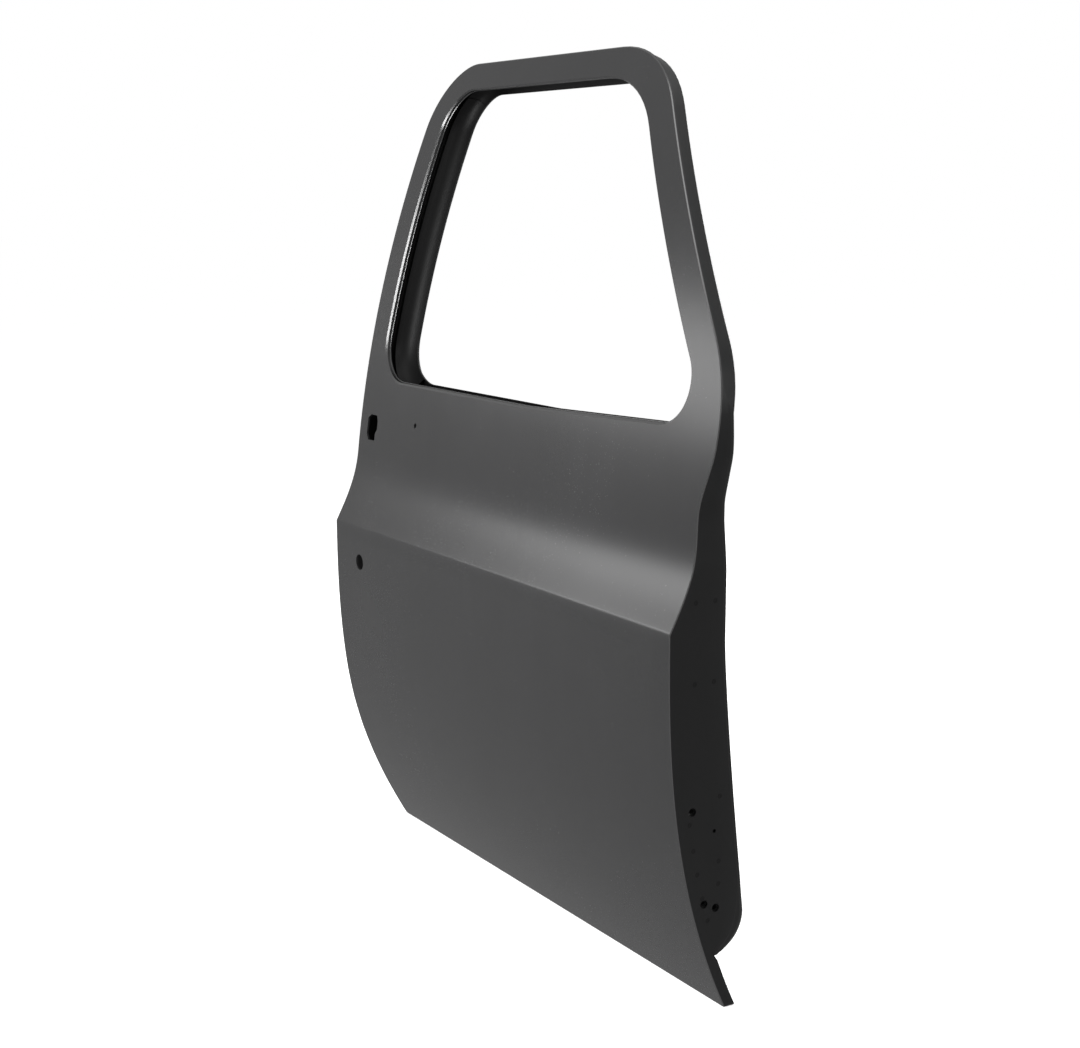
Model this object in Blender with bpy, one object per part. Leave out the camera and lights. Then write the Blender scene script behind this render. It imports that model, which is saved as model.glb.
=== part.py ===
"""Right-hand front door shell of a pickup truck, as welded sheet steel.

The door is drawn in datum axes: X runs from the lock edge to the hinge edge, Z is
measured up from the crease line, and Y runs inboard from the crease. An empty then
puts the centre of the lower hinge face at the world origin.
"""

import math

import bmesh
import bpy
from mathutils import Vector
from mathutils.geometry import delaunay_2d_cdt

# Driving sizes
DOOR_LENGTH = 0.940
CREASE_TO_TOP = 0.725
CREASE_TO_BOTTOM = 0.499
SHEET = 0.0009
PLATE = 0.0020
CLEARANCE = 0.0003
OVERRUN = 0.010
TINY = 1e-9

# Finish of the primer: a dark satin coat over steel
PRIMER_GREY = (0.030, 0.030, 0.031, 1.0)
PRIMER_ROUGHNESS = 0.38
PRIMER_METALLIC = 0.35
MASTIC_GREY = (0.012, 0.012, 0.012, 1.0)
MASTIC_ROUGHNESS = 0.9

# How finely round stretches are drawn
ARC_ANGLE = math.radians(11)
ARC_CHORD = 0.030
HOLE_SIDES = 12
BOLT_SIDES = 16

# Section of the skin: lower bow, crease, cove, leaning window frame
BOW_DEPTH = 0.093
BOW_EXPONENT = 2.6
COVE_HEIGHT = 0.112
COVE_DEPTH = 0.041
COVE_HANDLE_SHARES = ((0.38, 0.27), (0.87, 0.58))
FRAME_LEAN_DEPTH = 0.0687
FRAME_CURL_DEPTH = 0.1056

# Skin edge, seen square on
NOSE_OVERHANG = 0.010
NOSE_HEIGHT = 0.303
NOSE_RADIUS = 0.188
NOSE_UNDERSIDE = 0.215
NOSE_BLEND_RADIUS = 0.090
DIP_DEPTH = 0.008
DIP_HEIGHT = 0.150
DIP_END_HEIGHT = 0.075
PILLAR_RUN_SHARE = 0.80
TOP_FRONT_RADIUS = 0.220
TOP_REAR_RADIUS = 0.100
REAR_SWEEP = 0.056
REAR_SWEEP_START = 0.375
REAR_SWEEP_RADIUS = 0.580
BOTTOM_CORNER_RADIUS = 0.004

# Window opening of the skin
POST_WIDTH = 0.052
HEADER_WIDTH = 0.042
SILL_HEIGHT = 0.231
SILL_RISE = 0.015
SILL_KNEE_SHARE = 0.52
WINDOW_FRONT_MARGIN = 0.015
WINDOW_FRONT = DOOR_LENGTH - WINDOW_FRONT_MARGIN
WINDOW_RUN_SHARE = 0.78
WINDOW_REAR_BOTTOM_RADIUS = 0.070
WINDOW_FRONT_BOTTOM_RADIUS = 0.050
WINDOW_TOP_FRONT_RADIUS = 0.190
WINDOW_TOP_REAR_RADIUS = 0.064

# Folded edges of the skin
EDGE_RADIUS = 0.0010
HEM_RETURN = 0.0035
WALL_RETURN = 0.0130
LOWER_RETURN = 0.0170
RETURN_CHANGE_HEIGHT = 0.255
LIP_RADIUS = 0.0025
LIP_DEPTH = 0.0065

# Inner panel: pan, weatherstrip land and window frame
LAND_DEPTH = 0.024
PAN_DEPTH = 0.088
PAN_LEAN = 0.036
PAN_LEAN_START = 0.020
PAN_LEAN_EXPONENT = 1.25
PAN_BOTTOM_RADIUS = 0.050
PAN_BOTTOM_HEIGHT = 0.425
FLANGE_DEPTH = 0.0145
WALL_START = 0.0022
WALL_CORNER_RADIUS = 0.005
WALL_SPLIT_SHARE = 0.7
WALL_JOGGLE = 0.0003
TRIM_RISE = 0.030
POST_FRAME_DEPTH = 0.058
PILLAR_FRAME_DEPTH = 0.046
FRAME_DEPTH_SHARES = (0.48, 0.85)
TRIM_STEP = 0.007
TRIM_REAR_LAND = 0.016
TRIM_FRONT_LAND = 0.044
TRIM_TOP_LAND = 0.015
TRIM_PILLAR_LAND = 0.030
TRIM_BOTTOM_HEIGHT = 0.340
TRIM_CORNER_RADIUS = 0.040
INNER_REAR_INSET = 0.004
INNER_TOP_INSET = 0.006
INNER_SILL_DROP = 0.005
INNER_PILLAR_INSET = 0.005
INNER_LIP = 0.005

# Handle, lock and hinge fastening places, measured from the rear edge and the crease
HANDLE_X = 0.044
HANDLE_Z = 0.1535
HANDLE_WIDTH = 0.034
HANDLE_HEIGHT = 0.041
HANDLE_SHARES = (
    (-0.50, -0.28), (-0.30, -0.50), (0.34, -0.50), (0.34, -0.22), (0.50, -0.05),
    (0.50, 0.30), (0.36, 0.50), (-0.22, 0.50), (-0.50, 0.34),
)
HANDLE_SCREW_X = 0.189
HANDLE_SCREW_Z = 0.171
HANDLE_SCREW_DIAMETER = 0.008
LOCK_X = 0.084
LOCK_Z = -0.056
LOCK_DIAMETER = 0.025

# Hinge wall holes, as (depth from the crease plane, height)
HINGE_BOLT_DIAMETER = 0.011
HINGE_BOLT_PLACES = ((0.039, -0.229), (0.059, -0.353), (0.077, -0.361))
HINGE_PILOT_PLACE = (0.073, -0.259)
HINGE_PILOT_DIAMETER = 0.005
HINGE_FACE_Y = 0.062
HINGE_FACE_Z = -0.300

# Lock wall: latch mouth and its three screws
LATCH_Y = 0.062
LATCH_Z = 0.045
LATCH_MOUTH_WIDTH = 0.024
LATCH_MOUTH_HEIGHT = 0.048
LATCH_SCREW_DIAMETER = 0.0075
LATCH_SCREW_SHARES = ((-0.60, 0.86), (0.60, 0.86), (0.0, -0.90))

# Openings and holes of the trim face
ACCESS_BOTTOM = -0.275
ACCESS_TOP = -0.060
ACCESS_SHARES = (0.202, 0.649)
ACCESS_TAPER = 0.045
ACCESS_RADIUS = 0.030
FRONT_ACCESS_SHARES = (0.718, 0.904)
FRONT_ACCESS_BOTTOM = -0.235
FRONT_ACCESS_TOP = -0.070
REAR_ACCESS_SHARES = (0.069, 0.160)
REAR_ACCESS_BOTTOM = -0.210
REAR_ACCESS_TOP = -0.020
CRANK_X_SHARE = 0.553
CRANK_Z = 0.035
CRANK_DIAMETER = 0.026
REGULATOR_SPAN = 0.100
REGULATOR_HEIGHT = 0.072
REGULATOR_BOLT_DIAMETER = 0.0075
REMOTE_X_SHARE = 0.745
REMOTE_Z = 0.060
REMOTE_DIAMETER = 0.022
REMOTE_BOLT_REACH = 0.030
ARMREST_SPAN = 0.160
ARMREST_X_SHARE = 0.351
ARMREST_Z = 0.000
ARMREST_BOLT_DIAMETER = 0.008
BEAD_END_MARGIN = 0.085
BEAD_Z = 0.115
BEAD_WIDTH = 0.020
BEAD_SLOPE_WIDTH = 0.005
BEAD_DEPTH = 0.004
DRAIN_LENGTH = 0.022
DRAIN_WIDTH = 0.005
DRAIN_Z = -0.482
DRAIN_SHARES = (0.18, 0.50, 0.82)
CLIP_DIAMETER = 0.006
CLIP_EDGE = 0.014
CLIP_SIDES = 6
CLIP_SHARES = (0.08, 0.36, 0.64, 0.92)

# Parts welded inside
BELT_FLANGE = 0.009
BELT_HEIGHT = 0.034
BELT_CROWN = 0.014
BELT_TOP_GAP = 0.004
BELT_REAR_MARGIN = 0.088
BELT_FRONT_MARGIN = 0.105
INNER_BELT_CROWN = 0.012
INNER_BELT_HEIGHT = 0.048
INNER_BELT_TOP = 0.210
STIFFENER_WIDTH = 0.064
STIFFENER_CROWN_WIDTH = 0.026
STIFFENER_SIDE = 0.006
STIFFENER_CROWN = 0.016
STIFFENER_TOP = 0.165
STIFFENER_BOTTOM = -0.405
MASTIC_THICKNESS = 0.0035
MASTIC_LENGTH = 0.045
MASTIC_WIDTH = 0.050
MASTIC_SHARES = (0.08, 0.45, 0.952)
RETAINER_FLANGE = 0.014
RETAINER_SETBACK = 0.002
RETAINER_BEND = 0.006
RETAINER_WEB = 0.018
RETAINER_SEAT = 0.0005
RETAINER_END_MARGIN = 0.076
MITRE_GAP = 0.0004
TAPPING_THICKNESS = 0.006
TAPPING_EDGE = 0.012
TAPPED_DIAMETER = 0.0085
CAGE_PLAY = 0.0015
CAGE_ROOM = 0.009
CAGE_FLANGE = 0.010
CAGE_Y = 0.075
REINFORCEMENT_EDGE = 0.018
SKIN_MARGIN = 0.005
UPPER_HINGE_BOTTOM = -0.075
UPPER_HINGE_TOP = 0.045
NUT_FLATS = 0.013
NUT_HEIGHT = 0.006
NUT_BORE = 0.0065
BRACKET_WIDTH = 0.028
BRACKET_FOOT = 0.026
BRACKET_REACH = 0.034
DIVISION_BAR_SHARE = 0.622
GLASS_CHANNEL_SHARE = 0.128


def skin_y(z):
    """Depth of the skin's outer face at a height."""
    if z <= 0:
        return BOW_DEPTH * (-z / CREASE_TO_BOTTOM) ** BOW_EXPONENT
    if z >= COVE_HEIGHT:
        share = (z - COVE_HEIGHT) / (CREASE_TO_TOP - COVE_HEIGHT)
        return COVE_DEPTH + FRAME_LEAN_DEPTH * share + FRAME_CURL_DEPTH * share * share
    low, high = 0.0, 1.0
    for _ in range(40):
        share = (low + high) / 2
        if cove_point(share)[1] < z:
            low = share
        else:
            high = share
    return cove_point(low)[0]


def cove_point(share):
    """Point (depth, height) of the cove, a curve that leaves the crease as a sharp step."""
    (y1, z1), (y2, z2) = COVE_HANDLE_SHARES
    b1 = 3 * share * (1 - share) ** 2
    b2 = 3 * share ** 2 * (1 - share)
    b3 = share ** 3
    return ((b1 * y1 + b2 * y2 + b3) * COVE_DEPTH, (b1 * z1 + b2 * z2 + b3) * COVE_HEIGHT)


def skin_levels():
    """Heights at which the skin's section has a corner when it is drawn in facets."""
    bow_count = 12
    cove_count = 7
    frame_count = 10
    levels = [-CREASE_TO_BOTTOM * (i / bow_count) ** 0.75 for i in range(1, bow_count)]
    levels += [0.0]
    levels += [cove_point(i / cove_count)[1] for i in range(1, cove_count + 1)]
    frame = CREASE_TO_TOP - COVE_HEIGHT
    levels += [COVE_HEIGHT + frame * i / frame_count for i in range(1, frame_count)]
    return sorted(levels)


def pan_y(z):
    """Depth of the weatherstrip land below the belt, with the round pan bottom."""
    centre_z = -PAN_BOTTOM_HEIGHT + PAN_BOTTOM_RADIUS
    if z >= -PAN_LEAN_START:
        return PAN_DEPTH
    if z >= centre_z:
        share = (-z - PAN_LEAN_START) / (-centre_z - PAN_LEAN_START)
        return PAN_DEPTH + PAN_LEAN * share ** PAN_LEAN_EXPONENT
    drop = min(centre_z - z, PAN_BOTTOM_RADIUS)
    side = math.sqrt(PAN_BOTTOM_RADIUS ** 2 - drop ** 2)
    return PAN_DEPTH + PAN_LEAN - PAN_BOTTOM_RADIUS + side


def land_y(z):
    """Depth of the weatherstrip land, lower flange and outer part of the window frame."""
    if z < -PAN_BOTTOM_HEIGHT:
        return skin_y(z) + FLANGE_DEPTH
    return max(skin_y(z) + LAND_DEPTH, pan_y(z), skin_y(z) + FLANGE_DEPTH)


def trim_y(x, z):
    """Depth of the raised face that carries the trim and the inner window edge."""
    start, end = (DOOR_LENGTH * share for share in FRAME_DEPTH_SHARES)
    share = min(max((x - start) / (end - start), 0.0), 1.0)
    depth = POST_FRAME_DEPTH + (PILLAR_FRAME_DEPTH - POST_FRAME_DEPTH) * share
    return max(skin_y(z) + depth, pan_y(z) + TRIM_RISE)


def panel_levels():
    """Heights at which the inner panel's section has a corner."""
    centre_z = -PAN_BOTTOM_HEIGHT + PAN_BOTTOM_RADIUS
    turns = (15, 30, 45, 60, 75)
    levels = [centre_z - PAN_BOTTOM_RADIUS * math.sin(math.radians(turn)) for turn in turns]
    lean_count = 6
    lean = -PAN_LEAN_START - centre_z
    levels += [centre_z + lean * i / lean_count for i in range(lean_count + 1)]
    levels += [-PAN_BOTTOM_HEIGHT - CLEARANCE, SILL_HEIGHT]
    levels += [z for z in skin_levels() if z > 0 or z < -PAN_BOTTOM_HEIGHT - OVERRUN]
    return sorted(levels)


def side_offset(first, second, distance):
    """A side of an anticlockwise outline, moved inwards, as a point and a direction."""
    direction = (Vector(second) - Vector(first)).normalized()
    inward = Vector((-direction.y, direction.x))
    return Vector(first) + inward * distance, direction


def inset(corners, distances):
    """Corner list (x, z, radius) moved inwards, with one distance for each side."""
    count = len(corners)
    if not isinstance(distances, (list, tuple)):
        distances = [distances] * count
    result = []
    for i in range(count):
        before, here, after = corners[i - 1], corners[i], corners[(i + 1) % count]
        p, d = side_offset(before[:2], here[:2], distances[i - 1])
        q, e = side_offset(here[:2], after[:2], distances[i])
        cross = d.x * e.y - d.y * e.x
        run = ((q.x - p.x) * e.y - (q.y - p.y) * e.x) / cross
        point = p + d * run
        change = (distances[i - 1] + distances[i]) / 2
        radius = here[2] - change if cross > 0 else here[2] + change
        result.append((point.x, point.y, max(radius, EDGE_RADIUS)))
    return result


def rounded(corners):
    """Outline points of a corner list, with each corner drawn as an arc."""
    points = []
    count = len(corners)
    for i in range(count):
        before, here, after = corners[i - 1], corners[i], corners[(i + 1) % count]
        corner = Vector(here[:2])
        incoming = (corner - Vector(before[:2])).normalized()
        outgoing = (Vector(after[:2]) - corner).normalized()
        turn = incoming.angle_signed(outgoing)
        radius = here[2]
        tangent = radius * math.tan(abs(turn) / 2)
        steps = max(2, math.ceil(abs(turn) / ARC_ANGLE), math.ceil(radius * abs(turn) / ARC_CHORD))
        if radius <= EDGE_RADIUS or abs(turn) < ARC_ANGLE / 2:
            points.append(tuple(corner))
            continue
        side = 1 if incoming.cross(outgoing) > 0 else -1
        normal = Vector((-incoming.y, incoming.x)) * side
        centre = corner - incoming * tangent + normal * radius
        for k in range(steps + 1):
            angle = abs(turn) * k / steps
            spoke = -normal * math.cos(angle) + incoming * math.sin(angle)
            points.append(tuple(centre + spoke * radius))
    return [p for i, p in enumerate(points) if (Vector(p) - Vector(points[i - 1])).length > CLEARANCE]


def skin_corners():
    """Skin outline, anticlockwise from the bottom rear corner, as (x, z, radius)."""
    pillar_top = DOOR_LENGTH + NOSE_OVERHANG - PILLAR_RUN_SHARE * (CREASE_TO_TOP - NOSE_HEIGHT)
    return [
        (REAR_SWEEP, -CREASE_TO_BOTTOM, BOTTOM_CORNER_RADIUS),
        (DOOR_LENGTH, -CREASE_TO_BOTTOM, BOTTOM_CORNER_RADIUS),
        (DOOR_LENGTH, DIP_END_HEIGHT, NOSE_RADIUS),
        (DOOR_LENGTH - DIP_DEPTH, DIP_HEIGHT, NOSE_BLEND_RADIUS),
        (DOOR_LENGTH + NOSE_OVERHANG, NOSE_UNDERSIDE, NOSE_BLEND_RADIUS),
        (DOOR_LENGTH + NOSE_OVERHANG, NOSE_HEIGHT, NOSE_RADIUS),
        (pillar_top, CREASE_TO_TOP, TOP_FRONT_RADIUS),
        (0.0, CREASE_TO_TOP, TOP_REAR_RADIUS),
        (0.0, -REAR_SWEEP_START, REAR_SWEEP_RADIUS),
    ]


def window_corners():
    """Window opening of the skin, anticlockwise from its rear bottom corner."""
    top = CREASE_TO_TOP - HEADER_WIDTH
    sill_front = SILL_HEIGHT + SILL_RISE
    knee = POST_WIDTH + (WINDOW_FRONT - POST_WIDTH) * SILL_KNEE_SHARE
    top_front = WINDOW_FRONT - WINDOW_RUN_SHARE * (top - sill_front)
    return [
        (POST_WIDTH, SILL_HEIGHT, WINDOW_REAR_BOTTOM_RADIUS),
        (knee, SILL_HEIGHT, NOSE_RADIUS),
        (WINDOW_FRONT, sill_front, WINDOW_FRONT_BOTTOM_RADIUS),
        (top_front, top, WINDOW_TOP_FRONT_RADIUS),
        (POST_WIDTH, top, WINDOW_TOP_REAR_RADIUS),
    ]


def inner_window_corners():
    """Window opening of the inner panel, a little inside the skin's one."""
    sides = (-INNER_SILL_DROP, -INNER_SILL_DROP, INNER_PILLAR_INSET, INNER_TOP_INSET, INNER_REAR_INSET)
    return inset(window_corners(), sides)


def trim_corners():
    """Outer foot of the raised trim face: the edge of the weatherstrip land."""
    rear = TRIM_REAR_LAND
    front = DOOR_LENGTH - TRIM_FRONT_LAND
    slant = math.hypot(1, PILLAR_RUN_SHARE)
    line_x = DOOR_LENGTH + NOSE_OVERHANG - TRIM_PILLAR_LAND * slant
    knee = NOSE_HEIGHT - (front - line_x) / PILLAR_RUN_SHARE
    top = CREASE_TO_TOP - TRIM_TOP_LAND
    top_x = line_x - PILLAR_RUN_SHARE * (top - NOSE_HEIGHT)
    return [
        (rear, -TRIM_BOTTOM_HEIGHT, TRIM_CORNER_RADIUS),
        (front, -TRIM_BOTTOM_HEIGHT, TRIM_CORNER_RADIUS),
        (front, knee, NOSE_RADIUS),
        (top_x, top, TOP_FRONT_RADIUS),
        (rear, top, TOP_REAR_RADIUS - TRIM_REAR_LAND),
    ]


def inside(loop, x, z):
    """Whether a point lies inside an outline."""
    found = False
    for i in range(len(loop)):
        (x0, z0), (x1, z1) = loop[i - 1], loop[i]
        if (z0 > z) != (z1 > z) and x < x0 + (x1 - x0) * (z - z0) / (z1 - z0):
            found = not found
    return found


def settled(z, levels):
    """Height moved onto a level that it all but touches."""
    near = min(levels, key=lambda level: abs(level - z), default=z)
    return near if abs(near - z) < EDGE_RADIUS else z


def split_at_levels(loop, levels):
    """Outline with a further point wherever it crosses one of the levels."""
    loop = [(x, settled(z, levels)) for x, z in loop]
    result = []
    for i in range(len(loop)):
        (x0, z0), (x1, z1) = loop[i], loop[(i + 1) % len(loop)]
        result.append((x0, z0))
        low, high = min(z0, z1), max(z0, z1)
        crossings = sorted((z for z in levels if low < z < high), reverse=z1 < z0)
        result += [(x0 + (x1 - x0) * (z - z0) / (z1 - z0), z) for z in crossings]
    return result


def hole_loop(x, z, diameter, sides=HOLE_SIDES):
    """Round hole as an outline."""
    turns = [2 * math.pi * (i + 0.5) / sides for i in range(sides)]
    return [(x + math.cos(t) * diameter / 2, z + math.sin(t) * diameter / 2) for t in turns]


def box_loop(x0, x1, z0, z1, radius):
    """Rounded rectangle as an outline."""
    return rounded([(x0, z0, radius), (x1, z0, radius), (x1, z1, radius), (x0, z1, radius)])


class Sheet:
    """A pressed sheet drawn square on: outlines with depths, joined by triangles."""

    def __init__(self, levels):
        self.levels = levels
        self.loops = []

    def add(self, points, depth, kind="ring"):
        """Adds an outline, and gives its number: an outer one, a ring on the sheet, or a hole."""
        self.loops.append((split_at_levels(points, self.levels), depth, kind))
        return len(self.loops) - 1

    def in_sheet(self, x, z):
        """Whether a place is on the material."""
        for loop, _, kind in self.loops:
            if kind == "outer" and not inside(loop, x, z):
                return False
            if kind == "hole" and inside(loop, x, z):
                return False
        return True

    def level_lines(self, points):
        """Straight lines along each level, between neighbouring outline points."""
        lines = []
        for level in self.levels:
            row = [i for i, point in enumerate(points) if abs(point[1] - level) < TINY]
            row.sort(key=lambda i: points[i][0])
            for first, second in zip(row, row[1:]):
                x = (points[first][0] + points[second][0]) / 2
                z = (points[first][1] + points[second][1]) / 2
                if self.in_sheet(x, z):
                    lines.append((first, second))
        return lines

    def build(self):
        """Mesh of the sheet, and the mesh edges along each outline."""
        points = []
        lines = []
        owners = []
        for number, (loop, depth, _) in enumerate(self.loops):
            start = len(points)
            points += [(x, z, depth(x, z)) for x, z in loop]
            count = len(loop)
            lines += [(start + i, start + (i + 1) % count) for i in range(count)]
            owners += [number] * count
        lines += self.level_lines(points)
        flat = [Vector((x, z)) for x, z, _ in points]
        verts, edges, faces, vert_from, edge_from, _ = delaunay_2d_cdt(flat, lines, [], 0, TINY)
        depths = [points[origin[0]][2] if origin else None for origin in vert_from]
        rims = {}
        for (a, b), origin in zip(edges, edge_from):
            for line in origin:
                first, second = (points[i] for i in lines[line])
                for end in (a, b):
                    if depths[end] is None:
                        depths[end] = between(first, second, verts[end])
                if line < len(owners):
                    rims[frozenset((a, b))] = owners[line]
        kept = self.kept_faces(verts, faces, rims)
        bm = bmesh.new()
        made = [bm.verts.new((v.x, y, v.y)) for v, y in zip(verts, depths)]
        for face in kept:
            bm.faces.new([made[i] for i in face])
        outlines = [[] for _ in self.loops]
        for pair, number in rims.items():
            edge = bm.edges.get([made[i] for i in pair])
            if edge and edge.is_boundary:
                outlines[number].append(edge)
        bmesh.ops.delete(bm, geom=[v for v in bm.verts if not v.link_faces], context="VERTS")
        return bm, outlines

    def kept_faces(self, verts, faces, rims):
        """Triangles on the material: whole patches between outlines, judged by their widest one."""
        sides = {}
        for number, face in enumerate(faces):
            for i in range(len(face)):
                sides.setdefault(frozenset((face[i - 1], face[i])), []).append(number)
        kept = []
        left = set(range(len(faces)))
        while left:
            patch = [left.pop()]
            for number in patch:
                face = faces[number]
                for i in range(len(face)):
                    pair = frozenset((face[i - 1], face[i]))
                    if pair not in rims:
                        patch += [n for n in sides[pair] if n in left]
                        left.difference_update(sides[pair])
            widest = max(patch, key=lambda n: area_2d(verts, faces[n]))
            centre = sum((verts[i] for i in faces[widest]), Vector((0, 0))) / len(faces[widest])
            if area_2d(verts, faces[widest]) > TINY and self.in_sheet(centre.x, centre.y):
                kept += [faces[n] for n in patch]
        return kept


def between(first, second, place):
    """Depth at a place on the line between two points (x, z, depth)."""
    run = Vector(second[:2]) - Vector(first[:2])
    share = (place - Vector(first[:2])).dot(run) / run.length_squared
    return first[2] + (second[2] - first[2]) * share


def area_2d(verts, face):
    """Area of a triangle seen square on."""
    a, b, c = (verts[i] for i in face)
    return abs((b - a).cross(c - a)) / 2


def fold(bm, edges, depth):
    """Extrudes edges square to the door face, to the depth that a function gives."""
    made = bmesh.ops.extrude_edge_only(bm, edges=edges)["geom"]
    for vert in (g for g in made if isinstance(g, bmesh.types.BMVert)):
        vert.co.y = depth(vert.co.x, vert.co.z)
    return [g for g in made if isinstance(g, bmesh.types.BMEdge) and g.is_boundary]


def face_towards(bm, sign):
    """Makes the faces agree, with the widest ones towards +Y or -Y."""
    bmesh.ops.recalc_face_normals(bm, faces=bm.faces)
    lean = sum(f.normal.y * f.calc_area() for f in bm.faces)
    if lean * sign < 0:
        bmesh.ops.reverse_faces(bm, faces=bm.faces)


def draw_in(edges, distance):
    """Draws the free edge of a wall inwards, square to the wall."""
    for vert in {v for edge in edges for v in edge.verts}:
        outward = Vector((vert.normal.x, 0, vert.normal.z)).normalized()
        vert.co -= outward * distance


def primer(name):
    """Satin black primer of a steel piece."""
    return finish(name + "_primer", PRIMER_GREY, PRIMER_ROUGHNESS, PRIMER_METALLIC)


def soft_black(name):
    """Soft black finish of a mastic pad."""
    return finish(name + "_surface", MASTIC_GREY, MASTIC_ROUGHNESS, 0.0)


def finish(name, colour, roughness, metallic):
    """Material with one plain shader."""
    material = bpy.data.materials.new(name)
    material.use_nodes = True
    shader = material.node_tree.nodes["Principled BSDF"]
    shader.inputs["Base Color"].default_value = colour
    shader.inputs["Roughness"].default_value = roughness
    shader.inputs["Metallic"].default_value = metallic
    return material


def new_object(name, bm, datum, coat=primer):
    """Object of its own mesh and material, hung on the datum empty."""
    mesh = bpy.data.meshes.new(name)
    bm.to_mesh(mesh)
    bm.free()
    mesh.materials.append(coat(name))
    item = bpy.data.objects.new(name, mesh)
    bpy.context.scene.collection.objects.link(item)
    item.parent = datum
    return item


def thicken(item, thickness):
    """Gives a sheet its wall, behind the face that was drawn."""
    wall = item.modifiers.new("wall", "SOLIDIFY")
    wall.thickness = thickness
    wall.offset = -1
    wall.use_even_offset = True


def prism(profile, axis, start, end):
    """Closed solid from an outline in the plane square to an axis."""
    bm = bmesh.new()

    def place(pair, along):
        a, b = pair
        return (along, a, b) if axis == "X" else (a, along, b)

    near = [bm.verts.new(place(p, start)) for p in profile]
    far = [bm.verts.new(place(p, end)) for p in profile]
    bm.faces.new(near)
    bm.faces.new(far)
    for i in range(len(profile)):
        bm.faces.new((near[i - 1], near[i], far[i], far[i - 1]))
    bmesh.ops.recalc_face_normals(bm, faces=bm.faces)
    return bm


def pierce(item, bm, datum):
    """Cuts a solid out of an object."""
    cutter = new_object(item.name + "_cutter", bm, datum)
    cutter.hide_render = True
    cutter.display_type = "WIRE"
    cut = item.modifiers.new("hole", "BOOLEAN")
    cut.operation = "DIFFERENCE"
    cut.solver = "EXACT"
    cut.object = cutter


def thick_line(points, thickness):
    """Closed outline of a strip that follows a bent line, to the left of its run."""
    offset = []
    for i, point in enumerate(points):
        here = Vector(point)
        before = (here - Vector(points[i - 1])).normalized() if i else None
        after = (Vector(points[i + 1]) - here).normalized() if i + 1 < len(points) else None
        first = before or after
        second = after or before
        bend = (Vector((-first.y, first.x)) + Vector((-second.y, second.x))).normalized()
        stretch = thickness / max(bend.dot(Vector((-first.y, first.x))), ARC_ANGLE)
        offset.append(tuple(here + bend * stretch))
    return list(points) + offset[::-1]


def make_outer_skin(datum):
    """Skin: window surround, crease and cove in one stamping, with folded edges."""
    corners = skin_corners()
    window = window_corners()
    sheet = Sheet(skin_levels())
    edge = sheet.add(rounded(corners), lambda x, z: skin_y(z) + EDGE_RADIUS, "outer")
    sheet.add(rounded(inset(corners, EDGE_RADIUS)), lambda x, z: skin_y(z))
    sheet.add(rounded(inset(window, -LIP_RADIUS)), lambda x, z: skin_y(z))
    lip = sheet.add(rounded(window), lambda x, z: skin_y(z) + LIP_RADIUS, "hole")
    handle = [(HANDLE_X + a * HANDLE_WIDTH, HANDLE_Z + b * HANDLE_HEIGHT) for a, b in HANDLE_SHARES]
    sheet.add(handle, lambda x, z: skin_y(z), "hole")
    screw = hole_loop(HANDLE_SCREW_X, HANDLE_SCREW_Z, HANDLE_SCREW_DIAMETER)
    sheet.add(screw, lambda x, z: skin_y(z), "hole")
    sheet.add(hole_loop(LOCK_X, LOCK_Z, LOCK_DIAMETER, BOLT_SIDES), lambda x, z: skin_y(z), "hole")
    bm, outlines = sheet.build()
    fold(bm, outlines[edge], lambda x, z: skin_y(z) + edge_return(z))
    fold(bm, outlines[lip], lambda x, z: skin_y(z) + LIP_DEPTH)
    face_towards(bm, -1)
    skin = new_object("outer_skin", bm, datum)
    thicken(skin, SHEET)
    return skin


def edge_return(z):
    """How far the skin's edge is folded back at a height."""
    if z > RETURN_CHANGE_HEIGHT:
        return HEM_RETURN
    if z > -PAN_BOTTOM_HEIGHT:
        return WALL_RETURN
    return LOWER_RETURN


def access_loops():
    """Openings and holes through the trim face, large ones first."""
    rise = ACCESS_TAPER
    start, end = along(ACCESS_SHARES)
    main = rounded([
        (start, ACCESS_BOTTOM, ACCESS_RADIUS),
        (end, ACCESS_BOTTOM, ACCESS_RADIUS),
        (end, ACCESS_TOP - rise, ACCESS_RADIUS),
        (end - rise, ACCESS_TOP, ACCESS_RADIUS),
        (start, ACCESS_TOP, ACCESS_RADIUS),
    ])
    front = box_loop(*along(FRONT_ACCESS_SHARES), FRONT_ACCESS_BOTTOM, FRONT_ACCESS_TOP, ACCESS_RADIUS)
    rear = box_loop(*along(REAR_ACCESS_SHARES), REAR_ACCESS_BOTTOM, REAR_ACCESS_TOP, ACCESS_RADIUS)
    return [main, front, rear]


def along(shares):
    """Places along the door, given as shares of its length."""
    return tuple(DOOR_LENGTH * share for share in shares)


def regulator_places():
    """Centres of the four regulator bolts round the crank hole."""
    half_span, half_height = REGULATOR_SPAN / 2, REGULATOR_HEIGHT / 2
    signs = ((-1, -1), (1, -1), (1, 1), (-1, 1))
    middle = DOOR_LENGTH * CRANK_X_SHARE
    return [(middle + a * half_span, CRANK_Z + b * half_height) for a, b in signs]


def armrest_places():
    """Centres of the two arm rest bolts."""
    first = DOOR_LENGTH * ARMREST_X_SHARE
    return [(first, ARMREST_Z), (first + ARMREST_SPAN / 2, ARMREST_Z)]


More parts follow.
